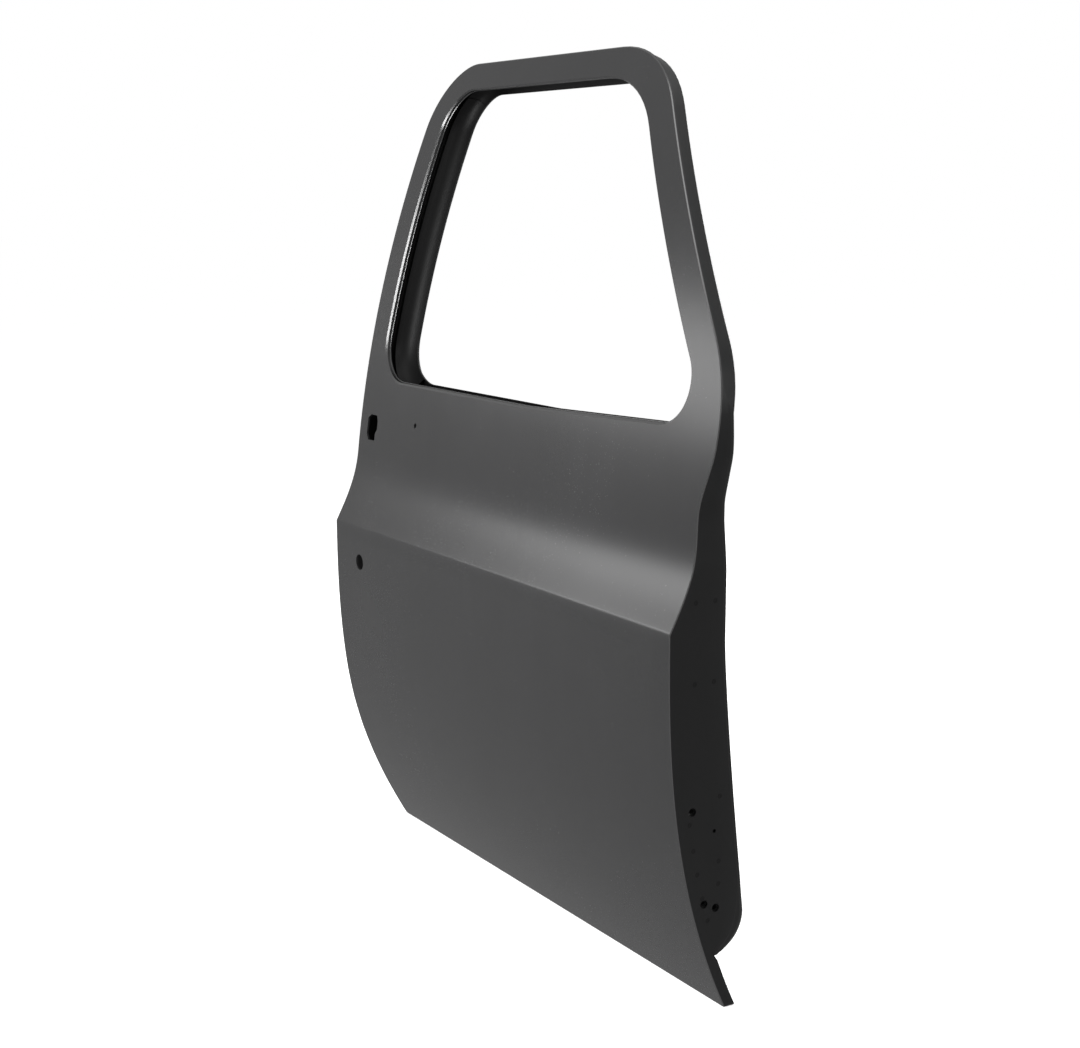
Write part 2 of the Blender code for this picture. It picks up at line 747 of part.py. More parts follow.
def trim_hole_loops():
    """Small round holes of the trim face."""
    holes = [hole_loop(DOOR_LENGTH * CRANK_X_SHARE, CRANK_Z, CRANK_DIAMETER)]
    holes += [hole_loop(x, z, REGULATOR_BOLT_DIAMETER, CLIP_SIDES) for x, z in regulator_places()]
    remote_x = DOOR_LENGTH * REMOTE_X_SHARE
    holes += [hole_loop(remote_x, REMOTE_Z, REMOTE_DIAMETER)]
    for side in (-1, 1):
        x = remote_x + side * REMOTE_BOLT_REACH
        holes.append(hole_loop(x, REMOTE_Z, REGULATOR_BOLT_DIAMETER, CLIP_SIDES))
    holes += [hole_loop(x, z, ARMREST_BOLT_DIAMETER, CLIP_SIDES) for x, z in armrest_places()]
    edge = TRIM_STEP + CLIP_EDGE
    rear, front = TRIM_REAR_LAND + edge, DOOR_LENGTH - TRIM_FRONT_LAND - edge
    low, high = -TRIM_BOTTOM_HEIGHT + edge, BEAD_Z
    for share in CLIP_SHARES:
        height = low + (high - low) * share
        holes.append(hole_loop(front, height, CLIP_DIAMETER, CLIP_SIDES))
        holes.append(hole_loop(rear + (front - rear) * share, low, CLIP_DIAMETER, CLIP_SIDES))
    return holes


def make_inner_panel(datum):
    """Inner panel: hinge and lock walls, land, trim face and window frame in one stamping."""
    wall = inset(skin_corners(), SHEET + CLEARANCE)
    radius = WALL_CORNER_RADIUS
    slope = 1 - math.sqrt(0.5)
    sheet = Sheet(panel_levels())
    foot = sheet.add(rounded(wall), lambda x, z: land_y(z) - radius, "outer")
    sheet.add(rounded(inset(wall, radius * slope)), lambda x, z: land_y(z) - radius * slope)
    sheet.add(rounded(inset(wall, radius)), lambda x, z: land_y(z))
    trim = trim_corners()
    sheet.add(rounded(trim), lambda x, z: land_y(z))
    sheet.add(rounded(inset(trim, TRIM_STEP)), trim_y)
    edge = sheet.add(rounded(inner_window_corners()), trim_y, "hole")
    for loop in access_loops():
        sheet.add(loop, trim_y, "hole")
    for loop in trim_hole_loops():
        sheet.add(loop, trim_y, "hole")
    bead = BEAD_WIDTH / 2
    for step, lift in ((0.0, 0.0), (BEAD_SLOPE_WIDTH, BEAD_DEPTH)):
        grow = bead - step
        start = BEAD_END_MARGIN + step
        loop = box_loop(start, DOOR_LENGTH - start, BEAD_Z - grow, BEAD_Z + grow, grow)
        sheet.add(loop, lambda x, z, lift=lift: trim_y(x, z) - lift)
    span = DOOR_LENGTH - REAR_SWEEP
    for share in DRAIN_SHARES:
        middle = REAR_SWEEP + span * share
        half = DRAIN_LENGTH / 2
        loop = box_loop(middle - half, middle + half, DRAIN_Z - DRAIN_WIDTH, DRAIN_Z, EDGE_RADIUS)
        sheet.add(loop, lambda x, z: land_y(z), "hole")
    bm, outlines = sheet.build()
    middle = fold(bm, outlines[foot], wall_split)
    rim = fold(bm, middle, lambda x, z: skin_y(z) + WALL_START)
    fold(bm, outlines[edge], lambda x, z: trim_y(x, z) - INNER_LIP)
    face_towards(bm, 1)
    draw_in(rim, WALL_JOGGLE)
    panel = new_object("inner_panel", bm, datum)
    thicken(panel, SHEET)
    for y, z in HINGE_BOLT_PLACES:
        drill_wall(panel, datum, DOOR_LENGTH, y, z, HINGE_BOLT_DIAMETER)
    drill_wall(panel, datum, DOOR_LENGTH, *HINGE_PILOT_PLACE, HINGE_PILOT_DIAMETER)
    cut_latch_wall(panel, datum)
    return panel


def wall_split(x, z):
    """Depth at which the wall comes out from under the skin's folded edge."""
    open_part = land_y(z) - WALL_CORNER_RADIUS - skin_y(z)
    return skin_y(z) + min(edge_return(z) + SHEET, open_part * WALL_SPLIT_SHARE)


def drill_wall(item, datum, x, y, z, diameter):
    """Round hole along X through a wall."""
    pierce(item, prism(hole_loop(y, z, diameter, HOLE_SIDES), "X", x - OVERRUN, x + OVERRUN), datum)


def latch_screw_places():
    """Centres of the latch screws round the latch mouth."""
    return [
        (LATCH_Y + a * LATCH_MOUTH_WIDTH, LATCH_Z + b * LATCH_MOUTH_HEIGHT)
        for a, b in LATCH_SCREW_SHARES
    ]


def cut_latch_wall(item, datum):
    """Latch mouth and screw holes through the lock wall or its plate."""
    half_width, half_height = LATCH_MOUTH_WIDTH / 2, LATCH_MOUTH_HEIGHT / 2
    mouth = box_loop(
        LATCH_Y - half_width, LATCH_Y + half_width, LATCH_Z - half_height, LATCH_Z + half_height,
        BOTTOM_CORNER_RADIUS,
    )
    pierce(item, prism(mouth, "X", -OVERRUN, OVERRUN), datum)
    for y, z in latch_screw_places():
        drill_wall(item, datum, 0.0, y, z, LATCH_SCREW_DIAMETER)


def make_wall_plate(name, datum, face_x, inward, profile, thickness):
    """Flat plate on the inside of the hinge wall or the lock wall."""
    return new_object(name, prism(profile, "X", face_x, face_x + inward * thickness), datum)


def wall_inner_x():
    """Inside faces of the hinge wall and of the lock wall."""
    depth = 2 * SHEET + 2 * CLEARANCE
    return DOOR_LENGTH - depth, depth


def hinge_plate_profile(margin, edge):
    """Plate outline round the hinge bolts, with its outboard side along the skin."""
    ys = [y for y, _ in HINGE_BOLT_PLACES]
    zs = [z for _, z in HINGE_BOLT_PLACES]
    low, high, far = min(zs) - edge, max(zs) + edge, max(ys) + TAPPING_EDGE
    radius = BOTTOM_CORNER_RADIUS
    return rounded([
        (skin_y(low) + margin, low, radius), (far, low, radius),
        (far, high, radius), (skin_y(high) + margin, high, radius),
    ])


def make_hinge_parts(datum):
    """Lower hinge plate, tapping plate and cage, and the plain upper hinge plate."""
    hinge_x, _ = wall_inner_x()
    profile = hinge_plate_profile(SKIN_MARGIN, REINFORCEMENT_EDGE)
    lower = make_wall_plate("lower_hinge_plate", datum, hinge_x, -1, profile, PLATE)
    for y, z in HINGE_BOLT_PLACES:
        drill_wall(lower, datum, hinge_x, y, z, HINGE_BOLT_DIAMETER)
    drill_wall(lower, datum, hinge_x, *HINGE_PILOT_PLACE, HINGE_PILOT_DIAMETER)
    tap_x = hinge_x - PLATE - CLEARANCE
    profile = hinge_plate_profile(SKIN_MARGIN * 2, TAPPING_EDGE)
    tapping = make_wall_plate("hinge_tapping_plate", datum, tap_x, -1, profile, TAPPING_THICKNESS)
    for y, z in HINGE_BOLT_PLACES:
        drill_wall(tapping, datum, tap_x, y, z, TAPPED_DIAMETER)
    make_cage(datum, tap_x)
    low, high = skin_y(UPPER_HINGE_TOP) + SKIN_MARGIN, PAN_DEPTH - TAPPING_EDGE
    profile = box_loop(low, high, UPPER_HINGE_BOTTOM, UPPER_HINGE_TOP, BOTTOM_CORNER_RADIUS)
    make_wall_plate("upper_hinge_plate", datum, hinge_x, -1, profile, PLATE)


def make_cage(datum, tap_x):
    """Pressed strap over the tapping plate, with room for the bolt ends."""
    zs = [z for _, z in HINGE_BOLT_PLACES]
    low = min(zs) - TAPPING_EDGE - CAGE_PLAY
    high = max(zs) + TAPPING_EDGE + CAGE_PLAY
    foot = tap_x
    top = tap_x - TAPPING_THICKNESS - CAGE_ROOM
    line = [
        (foot, low - CAGE_FLANGE), (foot, low), (top, low),
        (top, high), (foot, high), (foot, high + CAGE_FLANGE),
    ]
    bm = prism(thick_line(line, SHEET), "Y", CAGE_Y - CAGE_FLANGE, CAGE_Y + CAGE_FLANGE)
    new_object("tapping_plate_cage", bm, datum)


def make_latch_plate(datum):
    """Plate behind the lock wall, with the latch mouth and its screw holes."""
    _, lock_x = wall_inner_x()
    reach = LATCH_MOUTH_HEIGHT + REINFORCEMENT_EDGE / 2
    low = skin_y(LATCH_Z + reach) + SKIN_MARGIN
    high = PAN_DEPTH - WALL_CORNER_RADIUS - SHEET
    profile = box_loop(low, high, LATCH_Z - reach, LATCH_Z + reach, BOTTOM_CORNER_RADIUS)
    plate = make_wall_plate("latch_plate", datum, lock_x, 1, profile, PLATE)
    cut_latch_wall(plate, datum)


def make_patch(name, datum, outline, holes, depth, sign, thickness):
    """Flat or curved plate that lies on a sheet, with holes through it."""
    sheet = Sheet([z for z in skin_levels() if depth is not flat_trim])
    sheet.add(outline, depth, "outer")
    for loop in holes:
        sheet.add(loop, depth, "hole")
    bm, _ = sheet.build()
    face_towards(bm, sign)
    item = new_object(name, bm, datum)
    thicken(item, thickness)
    return item


def behind_skin(x, z):
    """Just behind the skin's inner face."""
    return skin_y(z) + SHEET + CLEARANCE


def flat_trim(x, z):
    """Just behind the outboard face of the trim panel, above the pan's lean."""
    return PAN_DEPTH + TRIM_RISE - SHEET - CLEARANCE


def make_skin_plates(datum):
    """Plates behind the handle hole and the lock hole."""
    edge = REINFORCEMENT_EDGE
    handle = [(HANDLE_X + a * HANDLE_WIDTH, HANDLE_Z + b * HANDLE_HEIGHT) for a, b in HANDLE_SHARES]
    rear = HANDLE_X - HANDLE_WIDTH / 2 - edge / 2
    outline = box_loop(
        rear, HANDLE_SCREW_X + edge, HANDLE_Z - HANDLE_HEIGHT / 2 - edge / 2,
        HANDLE_SCREW_Z + edge / 2, BOTTOM_CORNER_RADIUS,
    )
    screw = hole_loop(HANDLE_SCREW_X, HANDLE_SCREW_Z, HANDLE_SCREW_DIAMETER)
    make_patch("handle_plate", datum, outline, [handle, screw], behind_skin, -1, PLATE)
    reach = LOCK_DIAMETER / 2 + edge
    outline = box_loop(LOCK_X - reach, LOCK_X + reach, LOCK_Z - reach, LOCK_Z + reach, ACCESS_RADIUS / 2)
    hole = hole_loop(LOCK_X, LOCK_Z, LOCK_DIAMETER, BOLT_SIDES)
    make_patch("lock_plate", datum, outline, [hole], behind_skin, -1, PLATE)


def make_regulator_plate(datum):
    """Plate behind the trim face round the crank hole."""
    edge = REINFORCEMENT_EDGE
    half_span, half_height = REGULATOR_SPAN / 2 + edge, REGULATOR_HEIGHT / 2 + edge
    middle = DOOR_LENGTH * CRANK_X_SHARE
    outline = box_loop(
        middle - half_span, middle + half_span, CRANK_Z - half_height,
        CRANK_Z + half_height, ACCESS_RADIUS / 2,
    )
    holes = [hole_loop(middle, CRANK_Z, CRANK_DIAMETER)]
    holes += [hole_loop(x, z, REGULATOR_BOLT_DIAMETER) for x, z in regulator_places()]
    make_patch("regulator_plate", datum, outline, holes, flat_trim, 1, PLATE)


def make_nut(name, datum, x, z, seat):
    """Hexagon weld nut behind a panel, with its bore."""
    across = NUT_FLATS / math.cos(math.pi / CLIP_SIDES)
    bm = prism(hole_loop(x, z, across, CLIP_SIDES), "Y", seat - NUT_HEIGHT, seat)
    nut = new_object(name, bm, datum)
    bore = prism(hole_loop(x, z, NUT_BORE, HOLE_SIDES), "Y", seat - OVERRUN, seat + OVERRUN)
    pierce(nut, bore, datum)


def make_weld_nuts(datum):
    """Nuts of the regulator and of the arm rest."""
    seat = flat_trim(0, 0) - PLATE - CLEARANCE
    for number, (x, z) in enumerate(regulator_places(), 1):
        make_nut(f"regulator_weld_nut_{number}", datum, x, z, seat)
    for number, (x, z) in enumerate(armrest_places(), 1):
        make_nut(f"armrest_weld_nut_{number}", datum, x, z, flat_trim(0, 0))


def make_belt_reinforcements(datum):
    """Hat sections along the window sill, one on the skin and one on the inner panel."""
    top = SILL_HEIGHT - LIP_RADIUS - BELT_TOP_GAP
    low = top - BELT_HEIGHT
    web = BELT_FLANGE + BELT_CROWN / 2

    def on_skin(z, lift):
        return (behind_skin(0, z) + lift, z)

    line = [
        on_skin(top, 0), on_skin(top - BELT_FLANGE, 0), on_skin(top - web, BELT_CROWN),
        on_skin(low + web, BELT_CROWN), on_skin(low + BELT_FLANGE, 0), on_skin(low, 0),
    ]
    bm = prism(thick_line(line, SHEET), "X", BELT_REAR_MARGIN, DOOR_LENGTH - BELT_FRONT_MARGIN)
    new_object("outer_belt_reinforcement", bm, datum)
    seat = flat_trim(0, 0)
    top = INNER_BELT_TOP
    low = top - INNER_BELT_HEIGHT
    web = BELT_FLANGE + INNER_BELT_CROWN / 2
    line = [
        (seat, low), (seat, low + BELT_FLANGE), (seat - INNER_BELT_CROWN, low + web),
        (seat - INNER_BELT_CROWN, top - web), (seat, top - BELT_FLANGE), (seat, top),
    ]
    bm = prism(thick_line(line, SHEET), "X", BELT_REAR_MARGIN, DOOR_LENGTH - BELT_FRONT_MARGIN)
    new_object("inner_belt_reinforcement", bm, datum)


def make_stiffener(datum):
    """Vertical hat section behind the skin, held off it by mastic pads."""
    half, crown = STIFFENER_WIDTH / 2, STIFFENER_CROWN_WIDTH / 2
    foot = behind_skin(0, 0) + MASTIC_THICKNESS + CLEARANCE
    columns = [
        (-half, 0), (-crown - STIFFENER_SIDE, 0), (-crown, STIFFENER_CROWN),
        (crown, STIFFENER_CROWN), (crown + STIFFENER_SIDE, 0), (half, 0),
    ]
    between_ends = [z for z in skin_levels() if STIFFENER_BOTTOM < z < STIFFENER_TOP]
    heights = [STIFFENER_BOTTOM, *between_ends, STIFFENER_TOP]
    middle = DOOR_LENGTH / 2
    bm = bmesh.new()
    rows = [
        [bm.verts.new((middle + a, skin_y(z) + foot + lift, z)) for a, lift in columns]
        for z in heights
    ]
    for low, high in zip(rows, rows[1:]):
        for i in range(len(columns) - 1):
            bm.faces.new((low[i], low[i + 1], high[i + 1], high[i]))
    face_towards(bm, -1)
    item = new_object("skin_stiffener", bm, datum)
    thicken(item, SHEET)


def make_mastic_pads(datum):
    """Pads between the stiffener's feet and the skin."""
    span = STIFFENER_TOP - STIFFENER_BOTTOM
    half = MASTIC_WIDTH / 2
    centre = DOOR_LENGTH / 2
    for number, share in enumerate(MASTIC_SHARES, 1):
        middle = STIFFENER_BOTTOM + span * share
        low, high = middle - MASTIC_LENGTH / 2, middle + MASTIC_LENGTH / 2
        sheet = Sheet(skin_levels())
        outline = [
            (centre - half, low), (centre + half, low),
            (centre + half, high), (centre - half, high),
        ]
        sheet.add(outline, behind_skin, "outer")
        bm, _ = sheet.build()
        face_towards(bm, -1)
        item = new_object(f"mastic_pad_{number}", bm, datum, soft_black)
        thicken(item, MASTIC_THICKNESS)


def follow(path, section, name, datum):
    """Strip of sheet along a path of points and outward directions, with an (offset, depth) section."""
    bm = bmesh.new()
    rows = []
    for point, outward in path:
        row = []
        for offset, depth in section:
            place = point + outward * offset
            base = trim_y(place.x, place.y) - SHEET - RETAINER_SEAT
            row.append(bm.verts.new((place.x, base - depth, place.y)))
        rows.append(row)
    for low, high in zip(rows, rows[1:]):
        for i in range(len(section) - 1):
            bm.faces.new((low[i], low[i + 1], high[i + 1], high[i]))
    face_towards(bm, 1)
    item = new_object(name, bm, datum)
    thicken(item, SHEET)


def make_retainers(datum):
    """Glass run retainers on the rear post and on the header, mitred at the top corner."""
    x, z, radius = inner_window_corners()[-1]
    centre = Vector((x + radius, z - radius))
    foot = SILL_HEIGHT + WINDOW_REAR_BOTTOM_RADIUS
    levels = [level for level in skin_levels() if foot < level < centre.y]
    steps = 4
    half = math.pi / 4
    gap = MITRE_GAP / radius

    def spoke(turn):
        outward = Vector((-math.cos(turn), math.sin(turn)))
        return centre + outward * radius, outward

    up = [(Vector((x, level)), Vector((-1, 0))) for level in [foot, *levels]]
    up += [spoke((half - gap) * i / steps) for i in range(steps + 1)]
    over = [spoke(half + gap + (half - gap) * i / steps) for i in range(steps + 1)]
    end = inner_window_corners()[-2][0] - RETAINER_END_MARGIN
    over.append((Vector((end, z)), Vector((0, 1))))
    bend = RETAINER_FLANGE + RETAINER_BEND
    section = [
        (RETAINER_SETBACK, 0), (RETAINER_FLANGE, 0),
        (bend, RETAINER_BEND), (bend, RETAINER_WEB),
    ]
    follow(up, section, "rear_run_retainer", datum)
    follow(over, section, "top_run_retainer", datum)


def make_brackets(datum):
    """Bracket for the division bar at the belt, and one for the lower glass channel."""
    seat = flat_trim(0, 0)
    z = BEAD_Z + BEAD_WIDTH / 2 + PLATE
    line = [(seat, z), (seat, z + BRACKET_FOOT), (seat - BRACKET_REACH, z + BRACKET_FOOT)]
    names = ("division_bar_bracket", "glass_channel_bracket")
    half = BRACKET_WIDTH / 2
    for name, x in zip(names, along((DIVISION_BAR_SHARE, GLASS_CHANNEL_SHARE))):
        bm = prism(thick_line(line, PLATE), "X", x - half, x + half)
        new_object(name, bm, datum)


def main():
    """Builds every piece of the door."""
    for item in list(bpy.data.objects):
        bpy.data.objects.remove(item, do_unlink=True)
    datum = bpy.data.objects.new("door_datum", None)
    bpy.context.scene.collection.objects.link(datum)
    datum.location = (-(DOOR_LENGTH - SHEET - CLEARANCE), -HINGE_FACE_Y, -HINGE_FACE_Z)
    make_outer_skin(datum)
    make_inner_panel(datum)
    make_retainers(datum)
    make_belt_reinforcements(datum)
    make_hinge_parts(datum)
    make_latch_plate(datum)
    make_skin_plates(datum)
    make_regulator_plate(datum)
    make_weld_nuts(datum)
    make_stiffener(datum)
    make_mastic_pads(datum)
    make_brackets(datum)


main()
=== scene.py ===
"""Pickup front door shell in black primer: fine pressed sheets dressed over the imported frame.

Lengths are in metres. The door's own section is written from the crease line, with X from the lock
edge to the hinge edge, Y inboard and Z up, and is moved onto the frame at the end.
"""

import math

import bmesh
import bpy
from bpy.props import FloatProperty, FloatVectorProperty, IntProperty, PointerProperty
from mathutils import Matrix, Vector
from mathutils.geometry import delaunay_2d_cdt


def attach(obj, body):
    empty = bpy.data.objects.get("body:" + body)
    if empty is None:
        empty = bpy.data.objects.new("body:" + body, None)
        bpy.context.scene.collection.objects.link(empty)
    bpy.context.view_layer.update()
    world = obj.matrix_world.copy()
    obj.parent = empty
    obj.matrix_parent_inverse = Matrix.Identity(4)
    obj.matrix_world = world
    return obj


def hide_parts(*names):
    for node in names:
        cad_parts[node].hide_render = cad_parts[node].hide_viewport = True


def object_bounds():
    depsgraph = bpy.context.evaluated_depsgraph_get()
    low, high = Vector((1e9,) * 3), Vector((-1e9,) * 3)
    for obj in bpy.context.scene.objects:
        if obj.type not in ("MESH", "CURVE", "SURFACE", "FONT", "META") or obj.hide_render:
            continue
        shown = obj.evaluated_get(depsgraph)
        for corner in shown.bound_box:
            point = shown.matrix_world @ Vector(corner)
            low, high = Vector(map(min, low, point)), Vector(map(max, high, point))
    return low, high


bl_info = {
    "name": "Door shell dressing",
    "version": (1, 0, 0),
    "blender": (4, 5, 0),
    "location": "View3D > Sidebar > Door shell",
    "description": "Pressed sheets, weld marks, primer and studio of a bare door shell",
    "category": "Object",
}

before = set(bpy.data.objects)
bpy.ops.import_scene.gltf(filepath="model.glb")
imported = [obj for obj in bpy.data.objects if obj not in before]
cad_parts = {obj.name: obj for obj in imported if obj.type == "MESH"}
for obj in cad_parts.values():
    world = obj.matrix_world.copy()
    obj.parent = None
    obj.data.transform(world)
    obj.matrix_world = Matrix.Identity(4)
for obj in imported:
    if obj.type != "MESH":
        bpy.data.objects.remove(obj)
CAD_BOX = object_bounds()
ROOT = "root"
WALL_X = 0.9388
DATUM = Vector((-WALL_X, -0.062, 0.300))

# Section and outline of the door, as in the solids
TOP = 0.725
BOTTOM = 0.499
CLEARANCE = 0.0003
BOW_DEPTH = 0.093
BOW_EXPONENT = 2.6
COVE_HEIGHT = 0.112
COVE_DEPTH = 0.041
COVE_HANDLES = ((0.38, 0.27), (0.87, 0.58))
FRAME_LEAN_DEPTH = 0.0687
FRAME_CURL_DEPTH = 0.1056
SILL_HEIGHT = 0.231
SKIN_CORNERS = (
    (0.056, -0.499, 0.004), (0.940, -0.499, 0.004), (0.940, 0.075, 0.188),
    (0.932, 0.150, 0.090), (0.950, 0.215, 0.090), (0.950, 0.303, 0.188),
    (0.6124, 0.725, 0.220), (0.0, 0.725, 0.100), (0.0, -0.375, 0.580),
)
WINDOW_CORNERS = (
    (0.052, 0.231, 0.070), (0.50596, 0.231, 0.188), (0.925, 0.246, 0.050),
    (0.58414, 0.683, 0.190), (0.052, 0.683, 0.064),
)
INNER_WINDOW_INSETS = (-0.005, -0.005, 0.005, 0.006, 0.008)

# Holes of the skin
HANDLE_OUTLINE = (
    (0.0270, 0.14202), (0.0338, 0.1330), (0.05556, 0.1330), (0.05556, 0.14448), (0.0610, 0.15145),
    (0.0610, 0.1658), (0.05624, 0.1740), (0.03652, 0.1740), (0.0270, 0.16744),
)
HANDLE_SCREW = (0.189, 0.171, 0.008)
LOCK_HOLE = (0.084, -0.056, 0.025)

# Depths of the skin's folded edges
HEM_RETURN = 0.0035
WALL_RETURN = 0.0130
LOWER_RETURN = 0.0170
RETURN_CHANGE_HEIGHT = 0.255
LIP_DEPTH = 0.0065

# Inner panel: depths of its faces, its walls and its rounds
LAND_DEPTH = 0.024
PAN_DEPTH = 0.088
PAN_LEAN = 0.036
PAN_LEAN_START = 0.020
PAN_LEAN_EXPONENT = 1.25
PAN_BOTTOM_RADIUS = 0.050
PAN_BOTTOM_HEIGHT = 0.425
PAN_CENTRE = PAN_BOTTOM_RADIUS - PAN_BOTTOM_HEIGHT
FLANGE_DEPTH = 0.0145
WALL_START = 0.0022
WALL_CORNER_RADIUS = 0.005
WALL_FOOT_STEP = 0.0003
FOOT_SLOPE = 0.0015
FOOT_ROUND = 0.011
FOOT_ROUND_HEIGHTS = (-0.325, -0.395, -0.416, -0.425)

# Hem behind the window frame's edge, and the panel's wall there
HEM_WIDTH = 0.006
HEM_HEIGHTS = (0.262, 0.302)
HEM_START = 0.27
HEM_CURL = 0.0002
FRAME_CORNER_RADIUS = 0.0034
FRAME_WALL_SLOPE = 0.0008
FRAME_SPARE = 0.005
LIP_FLARE = 0.0011

# Trim face and its openings
TRIM_RISE = 0.030
POST_FRAME_DEPTH = 0.058
PILLAR_FRAME_DEPTH = 0.046
FRAME_DEPTH_SPAN = (0.4512, 0.799)
TRIM_STEP = 0.007
TRIM_CORNERS = (
    (0.016, -0.340, 0.040), (0.896, -0.340, 0.040), (0.896, 0.32248, 0.188),
    (0.58598, 0.710, 0.220), (0.016, 0.710, 0.084),
)
INNER_LIP = 0.005
ACCESS_CORNERS = (
    (0.18988, -0.275), (0.61006, -0.275), (0.61006, -0.105), (0.56506, -0.060), (0.18988, -0.060),
)
ACCESS_BOXES = ((0.67492, 0.84976, -0.235, -0.070), (0.06486, 0.1504, -0.210, -0.020))
ACCESS_RADIUS = 0.030
ROUND_HOLES = (
    (0.51982, 0.035, 0.026), (0.7003, 0.060, 0.022), (0.6703, 0.060, 0.0075), (0.7303, 0.060, 0.0075),
    (0.46982, -0.001, 0.0075), (0.56982, -0.001, 0.0075), (0.46982, 0.071, 0.0075),
    (0.56982, 0.071, 0.0075), (0.32994, 0.0, 0.008), (0.40994, 0.0, 0.008),
)
CLIP_SHARES = (0.08, 0.36, 0.64, 0.92)
CLIP_ENDS = (0.037, 0.875, -0.319, 0.115)
CLIP_DIAMETER = 0.006
BEAD_BOX = (0.085, 0.855, 0.105, 0.125)
BEAD_SLOPE = 0.005
BEAD_DEPTH = 0.004
DRAIN_PLACES = (0.21512, 0.498, 0.78088)
DRAIN_SIZE = (0.022, 0.005)
DRAIN_HEIGHT = -0.482
DRAIN_RADIUS = 0.002

# Holes in the hinge wall and the lock wall
HINGE_HOLES = (
    (0.039, -0.229, 0.011), (0.059, -0.353, 0.011), (0.077, -0.361, 0.011), (0.073, -0.259, 0.005),
)
LATCH_MOUTH = (0.050, 0.074, 0.021, 0.069)
LATCH_MOUTH_RADIUS = 0.004
LATCH_SCREWS = ((0.0476, 0.08628, 0.0075), (0.0764, 0.08628, 0.0075), (0.062, 0.0018, 0.0075))

# Glass run retainers
RUN_DEPTH = 0.031
RUN_SPREAD = 0.017
RUN_SEAT = 0.0036
RUN_GAP = 0.0013
RUN_BEND = 3
RUN_STEPS = 12
RUN_TURN_STEPS = 10
RUN_FOOT_TURN = math.radians(62)
HEADER_RUN = (0.25, 0.38, 0.50214)
MITRE_TURN = 0.0068
WALL_CUT = 0.010

# Steps of rounds and arcs, and distances that count as nothing
ROUND_TURNS = tuple(math.radians(turn) for turn in (0, 18, 36, 54, 72, 90))
EASED_SHARES = (0.0, 0.10, 0.22, 0.36, 0.50, 0.64, 0.78, 0.90, 1.0)
NEAR = 1e-9
PROBE = 0.001
SNAP = 0.0001
DOUBLE = 0.00001
TURN_STEP = math.radians(5)
CHORD = 0.014
QUARTER_STEPS = 3
SMALLEST_RADIUS = 0.0005
HOLE_SIDES = 28
LOCK_SIDES = 36
BOLT_SIDES = 24
SCREW_SIDES = 20
CLIP_SIDES = 14

# Angles past which an edge is shaded as a sharp one
SHARP = math.radians(38)
SKIN_SHARP = math.radians(28)
RUN_SHARP = math.radians(30)
WELD_SHARP = math.radians(50)

# How far a face of the skin looks outwards: less than the first where it is folded back,
# between the other two on its slanting edges
# Faces folded back are given the darker inner primer as painted shade.
TURNED_BACK = 0.25
BEVEL_SLANT = (0.35, 0.80)

# Spot welds: on the walls as (depth, height), on the inner face as (x, height) and in rows of
# (start, end, count)
HINGE_WELD_HEIGHTS = (-0.245, -0.280, -0.312, -0.345, -0.376)
HINGE_WELD_DEPTH = 0.021
HINGE_PLATE_WELDS = (
    (0.081, -0.215), (0.081, -0.300), (0.081, -0.330),
    (0.040, -0.066), (0.069, -0.066), (0.040, 0.036), (0.069, 0.036),
)
LATCH_WELDS = ((0.052, -0.008), (0.072, -0.008), (0.052, 0.098), (0.072, 0.098))
LATCH_WELD_X = 0.0012
TRIM_WELD_ROWS = (
    ((0.034, 0.330), (0.034, 0.600), 6), ((0.120, 0.6905), (0.480, 0.6905), 7),
    ((0.110, 0.203), (0.820, 0.203), 11), ((0.110, 0.167), (0.820, 0.167), 11),
)
FLANGE_WELD_ROW = ((0.075, -0.488), (0.920, -0.488), 17)
REGULATOR_WELDS = (
    (0.45782, -0.013), (0.58182, -0.013), (0.58182, 0.083),
    (0.45782, 0.083), (0.51982, 0.083), (0.51982, -0.013),
)
WELD_SIDES = 18
WELD_RIM = 0.37
WELD_DISH = 0.24
WELD_DISH_DEPTH = 0.7

# Patterns of the primer, as noise scales
HAZE_SCALE = 3.2
WAVE_SCALE = 9.0
DRIP_SCALE = 26.0
DRIP_STRETCH = (1.0, 1.0, 0.10)
DUST_SCALE = 420.0
PEEL_SCALE = 900.0
PIT_SCALE = 260.0
NUT_IOR = 1.5
# Share of the inner primer's grey on the weld marks: painted shade of their dished hollows.
WELD_PAINTED_SHADE = 0.35
WHITE = (1.0, 1.0, 1.0, 1.0)

# Camera, fitted to the door's outline in the photo
CAMERA_PLACE = Vector((1.77219, -1.31924, 0.82603))
CAMERA_TURN = math.radians(58.73978558)
CAMERA_TILT = math.radians(10.17397216)
CAMERA_LENS = 61.667
CAMERA_SENSOR = 36.0

# Lamps as place, target and size
LIGHT_PANEL = ((-2.15, -2.35, 1.20), (-0.45, 0.0, 1.20), (2.5, 0.65))
LIP_STRIP = ((-0.1, -1.25, 0.80), (-0.8, 0.0, 0.9), (0.22, 1.5))
BACK_LIGHT = ((2.3, 1.5, 1.9), (0.0, 0.0, 1.0), (1.5, 1.1))
TOP_LIGHT = ((0.3, 0.3, 2.9), (0.3, 0.3, 0.4), (2.4, 2.8))
INNER_LIGHT = ((-1.6, 2.7, 1.3), (-0.45, 0.1, 0.5), (2.0, 1.4))
LAMP_WATTS = 4.0
FLOOR_RADIUS = 40.0
FLOOR_GAP = 0.0002


# ---- Section ----

def cove_point(share):
    """Point (depth, height) of the cove above the crease."""
    (y1, z1), (y2, z2) = COVE_HANDLES
    b1 = 3 * share * (1 - share) ** 2
    b2 = 3 * share ** 2 * (1 - share)
    b3 = share ** 3
    return (b1 * y1 + b2 * y2 + b3) * COVE_DEPTH, (b1 * z1 + b2 * z2 + b3) * COVE_HEIGHT


